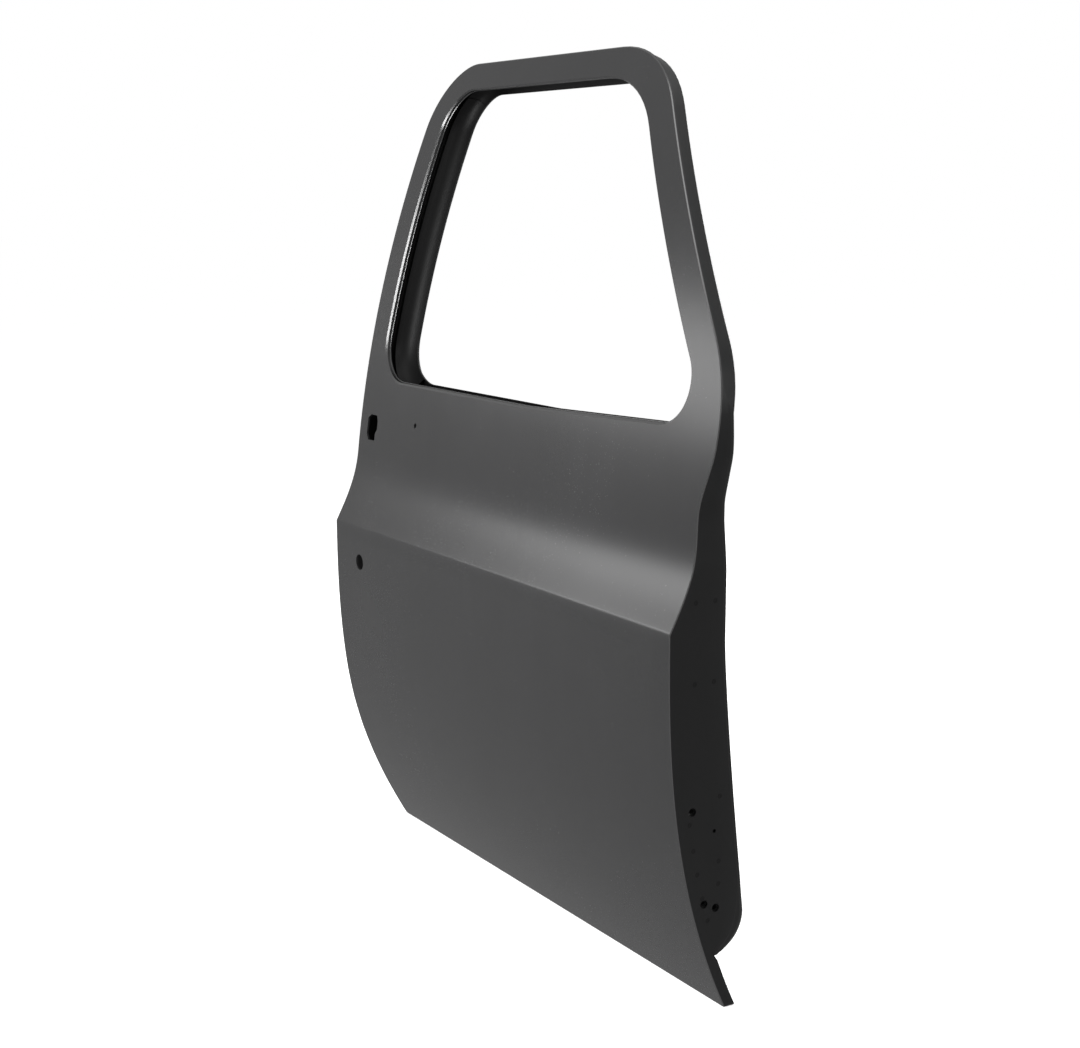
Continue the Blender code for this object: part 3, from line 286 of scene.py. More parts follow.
def skin_y(z):
    """Depth of the skin's outer face at a height."""
    if z <= 0:
        return BOW_DEPTH * (-z / BOTTOM) ** BOW_EXPONENT
    if z >= COVE_HEIGHT:
        share = (z - COVE_HEIGHT) / (TOP - COVE_HEIGHT)
        return COVE_DEPTH + FRAME_LEAN_DEPTH * share + FRAME_CURL_DEPTH * share * share
    low, high = 0.0, 1.0
    for _ in range(40):
        share = (low + high) / 2
        if cove_point(share)[1] < z:
            low = share
        else:
            high = share
    return cove_point(low)[0]


def pan_y(z):
    """Depth of the weatherstrip land below the belt."""
    if z >= -PAN_LEAN_START:
        return PAN_DEPTH
    if z >= PAN_CENTRE:
        share = (-z - PAN_LEAN_START) / (-PAN_CENTRE - PAN_LEAN_START)
        return PAN_DEPTH + PAN_LEAN * share ** PAN_LEAN_EXPONENT
    drop = min(PAN_CENTRE - z, PAN_BOTTOM_RADIUS)
    return PAN_DEPTH + PAN_LEAN - PAN_BOTTOM_RADIUS + math.sqrt(PAN_BOTTOM_RADIUS ** 2 - drop ** 2)


def land_y(z):
    """Depth of the weatherstrip land, the lower flange and the outer window frame."""
    flange = skin_y(z) + FLANGE_DEPTH
    if z < -PAN_BOTTOM_HEIGHT:
        return flange
    return max(skin_y(z) + LAND_DEPTH + FRAME_SPARE * frame_share(z), pan_y(z), flange)


def trim_y(x, z):
    """Depth of the raised face that carries the trim."""
    depth = POST_FRAME_DEPTH + (PILLAR_FRAME_DEPTH - POST_FRAME_DEPTH) * part_way(x, *FRAME_DEPTH_SPAN)
    return max(skin_y(z) + depth, pan_y(z) + TRIM_RISE)


def wall_foot_y(z, drop):
    """Depth just outside the wall's corner: down the wall on the box, on the hem's flange on the frame."""
    wall, flange = land_y(z) - corner_radius(z) - drop, skin_y(z) + WALL_START
    return wall + (flange - wall) * frame_share(z)


def edge_return(z):
    """How far the skin's edge is folded back at a height."""
    if z > RETURN_CHANGE_HEIGHT:
        return HEM_RETURN
    return WALL_RETURN if z > -PAN_BOTTOM_HEIGHT else LOWER_RETURN


def part_way(value, start, end):
    """Share from 0 at the start to 1 at the end."""
    return min(max((value - start) / (end - start), 0.0), 1.0)


def eased(value, start, end):
    """Share from 0 at the start to 1 at the end, with soft ends."""
    share = part_way(value, start, end)
    return share * share * (3 - 2 * share)


def frame_share(z):
    """0 on the door's box and 1 on the window frame, where the panel stands back from the hem."""
    return eased(z, *HEM_HEIGHTS)


def foot_share(z):
    """1 where the wall rounds into the bottom of the deep pressing."""
    first, full, last, end = FOOT_ROUND_HEIGHTS
    return eased(z, first, full) * (1 - eased(z, last, end))


def corner_radius(z):
    """Radius between the panel's wall and its land at a height."""
    change = (FRAME_CORNER_RADIUS - WALL_CORNER_RADIUS) * frame_share(z)
    return WALL_CORNER_RADIUS + change + FOOT_ROUND * foot_share(z)


def spread(start, end, count):
    """Even heights from one to another, without the last."""
    return [start + (end - start) * i / count for i in range(count)]


def skin_levels(fineness):
    """Heights at which the skin's section is sampled."""
    levels = [-BOTTOM * (i / (9 * fineness)) ** 0.8 for i in range(9 * fineness - 1, 0, -1)]
    levels += [0.0]
    levels += [cove_point(i / (5 * fineness))[1] for i in range(1, 5 * fineness + 1)]
    levels += spread(COVE_HEIGHT, TOP, 7 * fineness)[1:]
    return sorted(levels)


def panel_levels(fineness):
    """Heights at which the inner panel's section is sampled."""
    steps = 4 * fineness
    turns = [math.pi / 2 * i / steps for i in range(1, steps)]
    levels = [PAN_CENTRE - PAN_BOTTOM_RADIUS * math.sin(turn) for turn in turns]
    levels += spread(PAN_CENTRE, -PAN_LEAN_START, steps) + [-PAN_LEAN_START]
    levels += [-PAN_BOTTOM_HEIGHT - CLEARANCE, SILL_HEIGHT]
    levels += [z for z in skin_levels(fineness) if z > CLEARANCE or z < -PAN_BOTTOM_HEIGHT - CLEARANCE * 9]
    return sorted(levels)


# ---- Outlines ----

def inset(corners, distances):
    """Corner list (x, z, radius) moved inwards, by one distance or by one for each side."""
    count = len(corners)
    if not isinstance(distances, (list, tuple)):
        distances = [distances] * count
    result = []
    for i, here in enumerate(corners):
        lines = []
        before, after = corners[i - 1], corners[(i + 1) % count]
        for first, second, move in ((before, here, distances[i - 1]), (here, after, distances[i])):
            run = (Vector(second[:2]) - Vector(first[:2])).normalized()
            lines.append((Vector(first[:2]) + Vector((-run.y, run.x)) * move, run))
        (p, d), (q, e) = lines
        cross = d.x * e.y - d.y * e.x
        point = p + d * (((q.x - p.x) * e.y - (q.y - p.y) * e.x) / cross)
        change = (distances[i - 1] + distances[i]) / 2
        radius = here[2] - change if cross > 0 else here[2] + change
        result.append((point.x, point.y, max(radius, SMALLEST_RADIUS)))
    return result


def rounded(corners):
    """Outline points of a corner list, with each corner drawn as an arc."""
    points = []
    count = len(corners)
    for i, here in enumerate(corners):
        corner = Vector(here[:2])
        incoming = (corner - Vector(corners[i - 1][:2])).normalized()
        outgoing = (Vector(corners[(i + 1) % count][:2]) - corner).normalized()
        turn = incoming.angle_signed(outgoing)
        radius = here[2]
        side = 1 if incoming.cross(outgoing) > 0 else -1
        normal = Vector((-incoming.y, incoming.x)) * side
        centre = corner - incoming * radius * math.tan(abs(turn) / 2) + normal * radius
        steps = max(3, math.ceil(min(abs(turn) / TURN_STEP, 1 + radius * abs(turn) / CHORD * 3)))
        for k in range(steps + 1):
            angle = abs(turn) * k / steps
            points.append(tuple(centre + (incoming * math.sin(angle) - normal * math.cos(angle)) * radius))
    return [p for i, p in enumerate(points) if (Vector(p) - Vector(points[i - 1])).length > CLEARANCE]


def box_outline(x0, x1, z0, z1, radius):
    """Rounded rectangle as an outline."""
    return rounded([(x0, z0, radius), (x1, z0, radius), (x1, z1, radius), (x0, z1, radius)])


def hole_outline(x, z, diameter, sides=HOLE_SIDES):
    """Round hole as an outline."""
    turns = [2 * math.pi * (i + 0.5) / sides for i in range(sides)]
    return [(x + math.cos(t) * diameter / 2, z + math.sin(t) * diameter / 2) for t in turns]


def pushed(points, distance):
    """Outline with each point moved inwards by a distance that depends on its height."""
    moved = []
    for i, (x, z) in enumerate(points):
        run = (Vector(points[(i + 1) % len(points)]) - Vector(points[i - 1])).normalized()
        moved.append((x - run.y * distance(z), z + run.x * distance(z)))
    return moved


def inside(outline, x, z):
    """Whether a point lies inside an outline."""
    found = False
    for i, (x1, z1) in enumerate(outline):
        x0, z0 = outline[i - 1]
        if (z0 > z) != (z1 > z) and x < x0 + (x1 - x0) * (z - z0) / (z1 - z0):
            found = not found
    return found


# ---- Pressed sheets ----

class PressedSheet:
    """A sheet drawn square on: outlines with depths, filled with a fine net of triangles."""

    def __init__(self, levels, depth, step):
        self.levels = levels
        self.depth = depth
        self.step = step
        self.outlines = []

    def add(self, points, depth, kind="ring"):
        """Adds an outline and gives its number: the outer one, a ring on the sheet, or a hole."""
        settled = []
        for x, z in points:
            near = min(self.levels, key=lambda level: abs(level - z))
            settled.append((x, near if abs(near - z) < SNAP else z))
        split = []
        for i, (x0, z0) in enumerate(settled):
            x1, z1 = settled[(i + 1) % len(settled)]
            split.append((x0, z0))
            low, high = min(z0, z1), max(z0, z1)
            crossed = sorted((z for z in self.levels if low < z < high), reverse=z1 < z0)
            split += [(x0 + (x1 - x0) * (z - z0) / (z1 - z0), z) for z in crossed]
        fine = []
        for (x0, z0), (x1, z1) in zip(split, split[1:] + split[:1]):
            count = max(1, round(math.hypot(x1 - x0, z1 - z0) / self.step))
            fine += [(x0 + (x1 - x0) * i / count, z0 + (z1 - z0) * i / count) for i in range(count)]
        self.outlines.append((fine, depth, kind))
        return len(self.outlines) - 1

    def on_sheet(self, x, z):
        """Whether a place is on the material."""
        for outline, _, kind in self.outlines:
            if kind == "outer" and not inside(outline, x, z):
                return False
            if kind == "hole" and inside(outline, x, z):
                return False
        return True

    def net(self, points):
        """Further points along each level, and the lines that join neighbours there."""
        lines = []
        for level in self.levels:
            row = [i for i, p in enumerate(points) if abs(p[1] - level) < NEAR]
            row.sort(key=lambda i: points[i][0])
            for first, second in zip(row, row[1:]):
                (x0, _, y0), (x1, _, y1) = points[first], points[second]
                if not self.on_sheet((x0 + x1) / 2, level):
                    continue
                on_face = abs(self.depth(x0, level) - y0) + abs(self.depth(x1, level) - y1) < CLEARANCE
                count = max(1, round((x1 - x0) / self.step))
                chain = [first]
                for i in range(1, count):
                    x = x0 + (x1 - x0) * i / count
                    y = self.depth(x, level) if on_face else y0 + (y1 - y0) * (i / count)
                    points.append((x, level, y))
                    chain.append(len(points) - 1)
                chain.append(second)
                lines += list(zip(chain, chain[1:]))
        return lines

    def build(self):
        """Mesh of the sheet, and its open edges along each outline."""
        points, lines, owners = [], [], []
        for number, (outline, depth, _) in enumerate(self.outlines):
            start, count = len(points), len(outline)
            points += [(x, z, depth(x, z)) for x, z in outline]
            lines += [(start + i, start + (i + 1) % count) for i in range(count)]
            owners += [number] * count
        lines += self.net(points)
        flat = [Vector(p[:2]) for p in points]
        verts, edges, faces, vert_from, edge_from, _ = delaunay_2d_cdt(flat, lines, [], 0, NEAR)
        depths = [points[origin[0]][2] if origin else None for origin in vert_from]
        rims = {}
        for (a, b), origin in zip(edges, edge_from):
            for line in origin:
                first, second = (points[i] for i in lines[line])
                for end in (a, b):
                    if depths[end] is None:
                        run = Vector(second[:2]) - Vector(first[:2])
                        share = (verts[end] - Vector(first[:2])).dot(run) / run.length_squared
                        depths[end] = first[2] + (second[2] - first[2]) * share
                if line < len(owners):
                    rims[frozenset((a, b))] = owners[line]
        bm = bmesh.new()
        made = [bm.verts.new((v.x, y, v.y)) for v, y in zip(verts, depths)]
        for face in self.kept(verts, faces, rims):
            bm.faces.new([made[i] for i in face])
        open_edges = [[] for _ in self.outlines]
        for pair, number in rims.items():
            edge = bm.edges.get([made[i] for i in pair])
            if edge and edge.is_boundary:
                open_edges[number].append(edge)
        bmesh.ops.delete(bm, geom=[v for v in bm.verts if not v.link_faces], context="VERTS")
        return bm, open_edges

    def kept(self, verts, faces, rims):
        """Triangles on the material, found as whole patches between outlines."""
        def area(face):
            a, b, c = (verts[i] for i in face)
            return abs((b - a).cross(c - a)) / 2

        sides = {}
        for number, face in enumerate(faces):
            for i in range(3):
                sides.setdefault(frozenset((face[i - 1], face[i])), []).append(number)
        kept, left = [], set(range(len(faces)))
        while left:
            patch = [left.pop()]
            for number in patch:
                face = faces[number]
                for i in range(3):
                    pair = frozenset((face[i - 1], face[i]))
                    if pair not in rims:
                        patch += [n for n in sides[pair] if n in left]
                        left.difference_update(sides[pair])
            widest = max(patch, key=lambda n: area(faces[n]))
            centre = sum((verts[i] for i in faces[widest]), Vector((0, 0))) / 3
            if area(faces[widest]) > NEAR and self.on_sheet(centre.x, centre.y):
                kept += [faces[n] for n in patch]
        return kept


def extruded(bm, edges):
    """Draws a strip from open edges, and gives its new open edges and their corners."""
    made = bmesh.ops.extrude_edge_only(bm, edges=edges)["geom"]
    fresh = [g for g in made if isinstance(g, bmesh.types.BMEdge) and g.is_boundary]
    return fresh, [g for g in made if isinstance(g, bmesh.types.BMVert)]


def fold(bm, edges, depth, steps=1):
    """Carries open edges square back to a depth, in even steps, and gives the new open edges."""
    for step in range(1, steps + 1):
        edges, verts = extruded(bm, edges)
        for vert in verts:
            goal = depth(vert.co.x, vert.co.z)
            vert.co.y += (goal - vert.co.y) / (steps + 1 - step)
    return edges


def curl(bm, edges, outline, moves):
    """Carries open edges on in steps; each gives a height's move (to the outline's inside, inboard)."""
    rim, ways = set(edges), {}
    for vert in {v for e in edges for v in e.verts}:
        ends = [e.other_vert(vert).co for e in vert.link_edges if e in rim] + [vert.co]
        run = ends[1] - ends[0]
        way = Vector((-run.z, 0, run.x)).normalized()
        probe = vert.co + way * PROBE
        ways[vert] = way if inside(outline, probe.x, probe.z) else -way
    for move in moves:
        edges, verts = extruded(bm, edges)
        fresh = {}
        for vert in verts:
            old = next(e.other_vert(vert) for e in vert.link_edges if e.other_vert(vert) in ways)
            fresh[vert] = ways[old]
            sideways, inboard = move(vert.co.z)
            vert.co += ways[old] * sideways + Vector((0, inboard, 0))
        ways = fresh


def quarter_turn(radius):
    """Moves for curl that turn a wall through a right angle."""
    turns = [math.pi / 2 * i / QUARTER_STEPS for i in range(QUARTER_STEPS + 1)]
    return [
        lambda z, a=a, b=b: (radius * (math.cos(a) - math.cos(b)), radius * (math.sin(b) - math.sin(a)))
        for a, b in zip(turns, turns[1:])
    ]


def bevel_edge(sheet, corners, radius, face, sign, kind):
    """Breaks a sheet's edge with a narrow slanting flat up to its outline, and gives the outline's number."""
    sheet.add(rounded(inset(corners, sign * radius)), face)
    return sheet.add(rounded(corners), lambda x, z: face(x, z) + radius, kind)


def towards(bm, sign):
    """Turns the faces so that the widest ones look along +Y or -Y."""
    bmesh.ops.recalc_face_normals(bm, faces=bm.faces)
    if sum(f.normal.y * f.calc_area() for f in bm.faces) * sign < 0:
        bmesh.ops.reverse_faces(bm, faces=bm.faces)


def placed(name, data):
    """Puts a new object in the scene."""
    item = bpy.data.objects.new(name, data)
    bpy.context.scene.collection.objects.link(item)
    return item


def drawn(bm, name, move=DATUM):
    """Puts what was drawn in the scene, moved to its place."""
    bmesh.ops.translate(bm, vec=move, verts=bm.verts)
    mesh = bpy.data.meshes.new(name)
    bm.to_mesh(mesh)
    bm.free()
    return placed(name, mesh)


def settle(bm, name, thickness, cutters=(), sharp=SHARP):
    """Makes the finished piece: wall, cuts and smooth shading, with its place in its mesh."""
    piece = drawn(bm, name)
    wall = piece.modifiers.new("wall", "SOLIDIFY")
    wall.thickness = thickness
    wall.offset = -1
    wall.use_even_offset = True
    wall.use_quality_normals = True
    wall.use_thickness_angle_clamp = True
    wall.thickness_clamp = 1.0
    for cutter in cutters:
        cut = piece.modifiers.new("cut", "BOOLEAN")
        cut.operation = "DIFFERENCE"
        cut.solver = "EXACT"
        cut.object = cutter
    flatten(piece)
    for cutter in cutters:
        bpy.data.objects.remove(cutter)
    smooth(piece.data, sharp)
    return piece


def flatten(piece):
    """Replaces a piece's mesh by what its modifiers make of it."""
    graph = bpy.context.evaluated_depsgraph_get()
    mesh = bpy.data.meshes.new_from_object(piece.evaluated_get(graph))
    mesh.name = piece.name
    piece.modifiers.clear()
    piece.data = mesh


def smooth(mesh, sharp):
    """Shades a mesh smooth up to an angle."""
    mesh.shade_smooth()
    mesh.set_sharp_from_angle(angle=sharp)


def peg(outline, start, end):
    """Cutter along X with an outline in depth and height."""
    bm = bmesh.new()
    near = [bm.verts.new((start, y, z)) for y, z in outline]
    far = [bm.verts.new((end, y, z)) for y, z in outline]
    bm.faces.new(near)
    bm.faces.new(far)
    for i in range(len(outline)):
        bm.faces.new((near[i - 1], near[i], far[i], far[i - 1]))
    bmesh.ops.recalc_face_normals(bm, faces=bm.faces)
    return drawn(bm, "peg")


# ---- Shader writing ----

class Value:
    """A number in a shader; sums and products of values add their own nodes."""

    def __init__(self, graph, socket):
        self.graph = graph
        self.socket = socket

    def _math(self, operation, first, second):
        return self.graph.node("ShaderNodeMath", {"operation": operation}, {0: first, 1: second})

    def __add__(self, other):
        return self._math("ADD", self, other)

    def __mul__(self, other):
        return self._math("MULTIPLY", self, other)

    __radd__ = __add__
    __rmul__ = __mul__


class Graph:
    """Nodes of one tree."""

    def __init__(self, tree):
        self.tree = tree

    def node(self, kind, settings=None, values=None, output=0):
        """Adds a node: its settings first, then the numbers or links of its sockets."""
        made = self.tree.nodes.new(kind)
        for key, value in (settings or {}).items():
            setattr(made, key, value)
        for key, value in (values or {}).items():
            for item in value if isinstance(value, list) else [value]:
                if isinstance(item, Value):
                    self.tree.links.new(item.socket, made.inputs[key])
                else:
                    made.inputs[key].default_value = item
        return Value(self, made.outputs[output]) if made.outputs else None


class Paint(Graph):
    """Nodes of one new material."""

    def __init__(self, name):
        self.material = bpy.data.materials.new(name)
        self.material.use_nodes = True
        super().__init__(self.material.node_tree)
        self.tree.nodes.clear()

    def noise(self, scale, detail=2.0, stretch=(1.0, 1.0, 1.0)):
        """Noise on the piece's own coordinates, from 0 to 1."""
        place = self.node("ShaderNodeTexCoord", output="Object")
        place = self.node("ShaderNodeMapping", values={"Vector": place, "Scale": stretch})
        return self.node("ShaderNodeTexNoise", values={"Vector": place, "Scale": scale, "Detail": detail})

    def ramp(self, value, low, high):
        """Number stretched so that low gives 0 and high gives 1."""
        values = {"Value": value, "From Min": low, "From Max": high}
        return self.node("ShaderNodeMapRange", {"clamp": True}, values)

    def mix(self, share, first, second):
        """Colour between two, by a share."""
        return self.node("ShaderNodeMix", {"data_type": "RGBA"}, {0: share, 6: first, 7: second}, output=2)

    def finish(self, colour, roughness, normal, ior, specular):
        """Closes the material with one Principled shader."""
        shader = self.node("ShaderNodeBsdfPrincipled", values={
            "Base Color": colour, "Roughness": roughness, "Normal": normal,
            "IOR": ior, "Specular IOR Level": specular,
        })
        self.node("ShaderNodeOutputMaterial", values={"Surface": shader})
        return self.material


def primer_material(name, grey, roughness, ior, peel=1.0, streak=1.0):
    """Dipped black primer: satin, with orange peel, faint runs and handling haze."""
    graph = Paint(name)
    haze = graph.ramp(graph.noise(HAZE_SCALE, 4.0), 0.35, 0.75)
    drip = graph.noise(DRIP_SCALE, 3.0, DRIP_STRETCH)
    dust = graph.ramp(graph.noise(DUST_SCALE, 1.0), 0.66, 0.80)
    lift = haze * 0.16 * streak + graph.ramp(drip, 0.45, 0.8) * 0.05 * streak + dust * 0.08 * streak
    dark = (grey * 0.9, grey * 0.9, grey * 0.92, 1.0)
    light = (grey * 1.9, grey * 1.9, grey * 1.95, 1.0)
    colour = graph.mix(lift, dark, light)
    rough = haze * 0.03 + graph.ramp(drip, 0.4, 0.8) * 0.008 + dust * 0.02 + (roughness - 0.015)
    waves = graph.node("ShaderNodeBump", values={
        "Height": graph.noise(WAVE_SCALE, 1.0), "Strength": 0.05, "Distance": 0.004,
    })
    normal = graph.node("ShaderNodeBump", values={
        "Height": graph.noise(PEEL_SCALE, 2.0), "Strength": 0.05 * peel, "Distance": 0.0004, "Normal": waves,
    })
    return graph.finish(colour, rough, normal, ior, 0.5)


def mastic_material(name):
    """Soft black mastic with a dull, slightly pitted face."""
    graph = Paint(name)
    pits = graph.noise(PIT_SCALE, 3.0)
    dark, light = (0.008, 0.008, 0.008, 1.0), (0.022, 0.021, 0.020, 1.0)
    colour = graph.mix(graph.ramp(pits, 0.4, 0.7), dark, light)
    rough = pits * 0.2 + 0.72
    normal = graph.node("ShaderNodeBump", values={"Height": pits, "Strength": 0.5, "Distance": 0.0008})
    return graph.finish(colour, rough, normal, 1.45, 0.4)


# ---- Settings a user would change ----

def length_setting(name, text, default):
    """Setting for a length."""
    return FloatProperty(name=name, description=text, default=default, min=0.0, unit="LENGTH")


def share_setting(name, text, default):
    """Setting from 0 to 1."""
    return FloatProperty(name=name, description=text, default=default, min=0.0, max=1.0, subtype="FACTOR")


def index_setting(name, text, default):
    """Setting for a refractive index."""
    return FloatProperty(name=name, description=text, default=default, min=1.0, max=3.0)


def level_setting(name, text, default):
    """Setting for a brightness."""
    return FloatProperty(name=name, description=text, default=default, min=0.0)


class DoorSizes(bpy.types.PropertyGroup):
    """Sizes of the pressed sheets and of their joints."""

    sheet: length_setting("Sheet", "Thickness of the pressed steel", 0.0009)
    hem_radius: length_setting("Hem edge", "Width of the slant along the skin's folded edge", 0.0012)
    lip_radius: length_setting("Lip edge", "Width of the slant along the skin's window lip", 0.0025)
    inner_lip_radius: length_setting("Inner lip radius", "Radius of the inner panel's window lip", 0.0036)
    net_step: length_setting("Net step", "Spacing of the fine net across a sheet", 0.018)
    fineness: IntProperty(
        name="Fineness", description="How closely a section is sampled", default=4, min=1, max=8)
    weld_diameter: length_setting("Weld diameter", "Width of one spot weld mark", 0.0070)
    weld_height: length_setting("Weld height", "How far the rim of a weld mark stands up", 0.00022)


class DoorFinish(bpy.types.PropertyGroup):
    """Greys and gloss of the finishes."""

    skin_grey: share_setting("Skin grey", "Colour of the primer on the skin", 0.021)
    skin_roughness: share_setting("Skin roughness", "How dull the primer on the skin is", 0.26)
    primer_ior: index_setting("Primer index", "Refractive index of the primer on the skin", 1.38)
    edge_roughness: share_setting("Edge roughness", "How dull the skin's edges are", 0.22)
    edge_ior: index_setting("Edge index", "Refractive index of the primer on the skin's edges", 1.9)
    panel_grey: share_setting("Panel grey", "Colour of the primer inside", 0.008)
    panel_roughness: share_setting("Panel roughness", "How dull the primer inside is", 0.40)
    panel_ior: index_setting("Panel index", "Refractive index of the primer inside", 1.30)
    # The channel's darker grey and lower index are painted shade of the recess it lies in, on the same primer
    # as the panel.
    run_painted_shade_grey: share_setting("Channel grey", "Colour of the primer in the glass channel", 0.004)
    run_ior: index_setting("Channel index", "Refractive index of the primer in the glass channel", 1.22)


class DoorStage(bpy.types.PropertyGroup):
    """Light and background of the studio."""

    floor_colour: FloatVectorProperty(
        name="Floor", description="Colour of the floor", default=(0.90, 0.90, 0.90), subtype="COLOR", size=3)
    floor_glow: level_setting("Floor glow", "White added to the floor where it is seen", 0.64)
    room_level: level_setting("Room light", "Strength of the even light", 0.40)
    panel_level: level_setting("Light panel", "Brightness of the panel beside the outer face", 4.6)
    strip_level: level_setting("Light strip", "Brightness of the strip that draws the window's lip", 20.0)
    back_level: level_setting("Back light", "Brightness of the panel that faces the hinge side", 3.0)
    sky_level: level_setting("Top light", "Brightness of the panel above", 1.6)
    inner_level: level_setting("Inner light", "Brightness of the panel that faces the inner side", 6.0)
    mirrored_level: level_setting("Mirrored room", "Brightness of the room where the door mirrors it", 0.55)
    mirrored_floor: level_setting("Mirrored floor", "Brightness of the floor where the door mirrors it", 0.52)


# ---- Pieces ----

def carry(piece, node, *materials):
    """Gives a finished piece its materials, and hands it to the frame in place of its solid."""
    for material in materials:
        piece.data.materials.append(material)
    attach(piece, ROOT)
    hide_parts(node)


def panel_material(name, settings):
    """Duller primer of the sheets inside the hem."""
    return primer_material(name, settings.panel_grey, settings.panel_roughness, settings.panel_ior)


class DOOR_OT_skin(bpy.types.Operator):
    """Outer skin: one fine pressing with crease, cove, window surround and folded edges"""

    bl_idname = "door.skin"
    bl_label = "Outer skin"

    def execute(self, context):
        sizes, finish = context.scene.door_sizes, context.scene.door_finish
        face = lambda x, z: skin_y(z)
        sheet = PressedSheet(skin_levels(sizes.fineness), face, sizes.net_step)
        edge = bevel_edge(sheet, SKIN_CORNERS, sizes.hem_radius, face, 1, "outer")
        lip = bevel_edge(sheet, WINDOW_CORNERS, sizes.lip_radius, face, -1, "hole")
        sheet.add(HANDLE_OUTLINE, face, "hole")
        sheet.add(hole_outline(*HANDLE_SCREW), face, "hole")
        sheet.add(hole_outline(*LOCK_HOLE, LOCK_SIDES), face, "hole")
        bm, open_edges = sheet.build()
        rim = fold(bm, open_edges[edge], lambda x, z: skin_y(z) + edge_return(z), steps=2)
        rim = [e for e in rim if min(v.co.z for v in e.verts) > HEM_START]
        hem = lambda z: (HEM_WIDTH * frame_share(z), HEM_CURL * frame_share(z))
        curl(bm, rim, rounded(SKIN_CORNERS), [hem])
        rim = fold(bm, open_edges[lip], lambda x, z: skin_y(z) + LIP_DEPTH)
        curl(bm, rim, rounded(WINDOW_CORNERS), quarter_turn(LIP_FLARE))
        bmesh.ops.remove_doubles(bm, verts=bm.verts, dist=DOUBLE)
        towards(bm, -1)
        piece = settle(bm, "pressed_skin", sizes.sheet, sharp=SKIN_SHARP)
        grey = finish.skin_grey
        outside = primer_material("skin_primer", grey, finish.skin_roughness, finish.primer_ior)
        # Faces of the skin turned back from its outer face take the inner panel's darker, duller primer:
        # painted shade on the skin's returns.
        shaded_return = panel_material("painted_shade_return_primer", finish)
        slanting = primer_material("edge_primer", grey, finish.edge_roughness, finish.edge_ior, 0.0, 0.0)
        for polygon in piece.data.polygons:
            slant = abs(polygon.normal.y)
            if slant < TURNED_BACK:
                polygon.material_index = 1
            elif BEVEL_SLANT[0] < slant < BEVEL_SLANT[1]:
                polygon.material_index = 2
        carry(piece, "outer_skin", outside, shaded_return, slanting)
        return {"FINISHED"}


def eased_rings(sheet, corners, width, low, high):
    """Rings of a rounded step from one face up to another."""
    for share in EASED_SHARES:
        ease = (1 - math.cos(math.pi * share)) / 2
        ring = rounded(inset(corners, width * share))
        sheet.add(ring, lambda x, z, ease=ease: low(x, z) + (high(x, z) - low(x, z)) * ease)


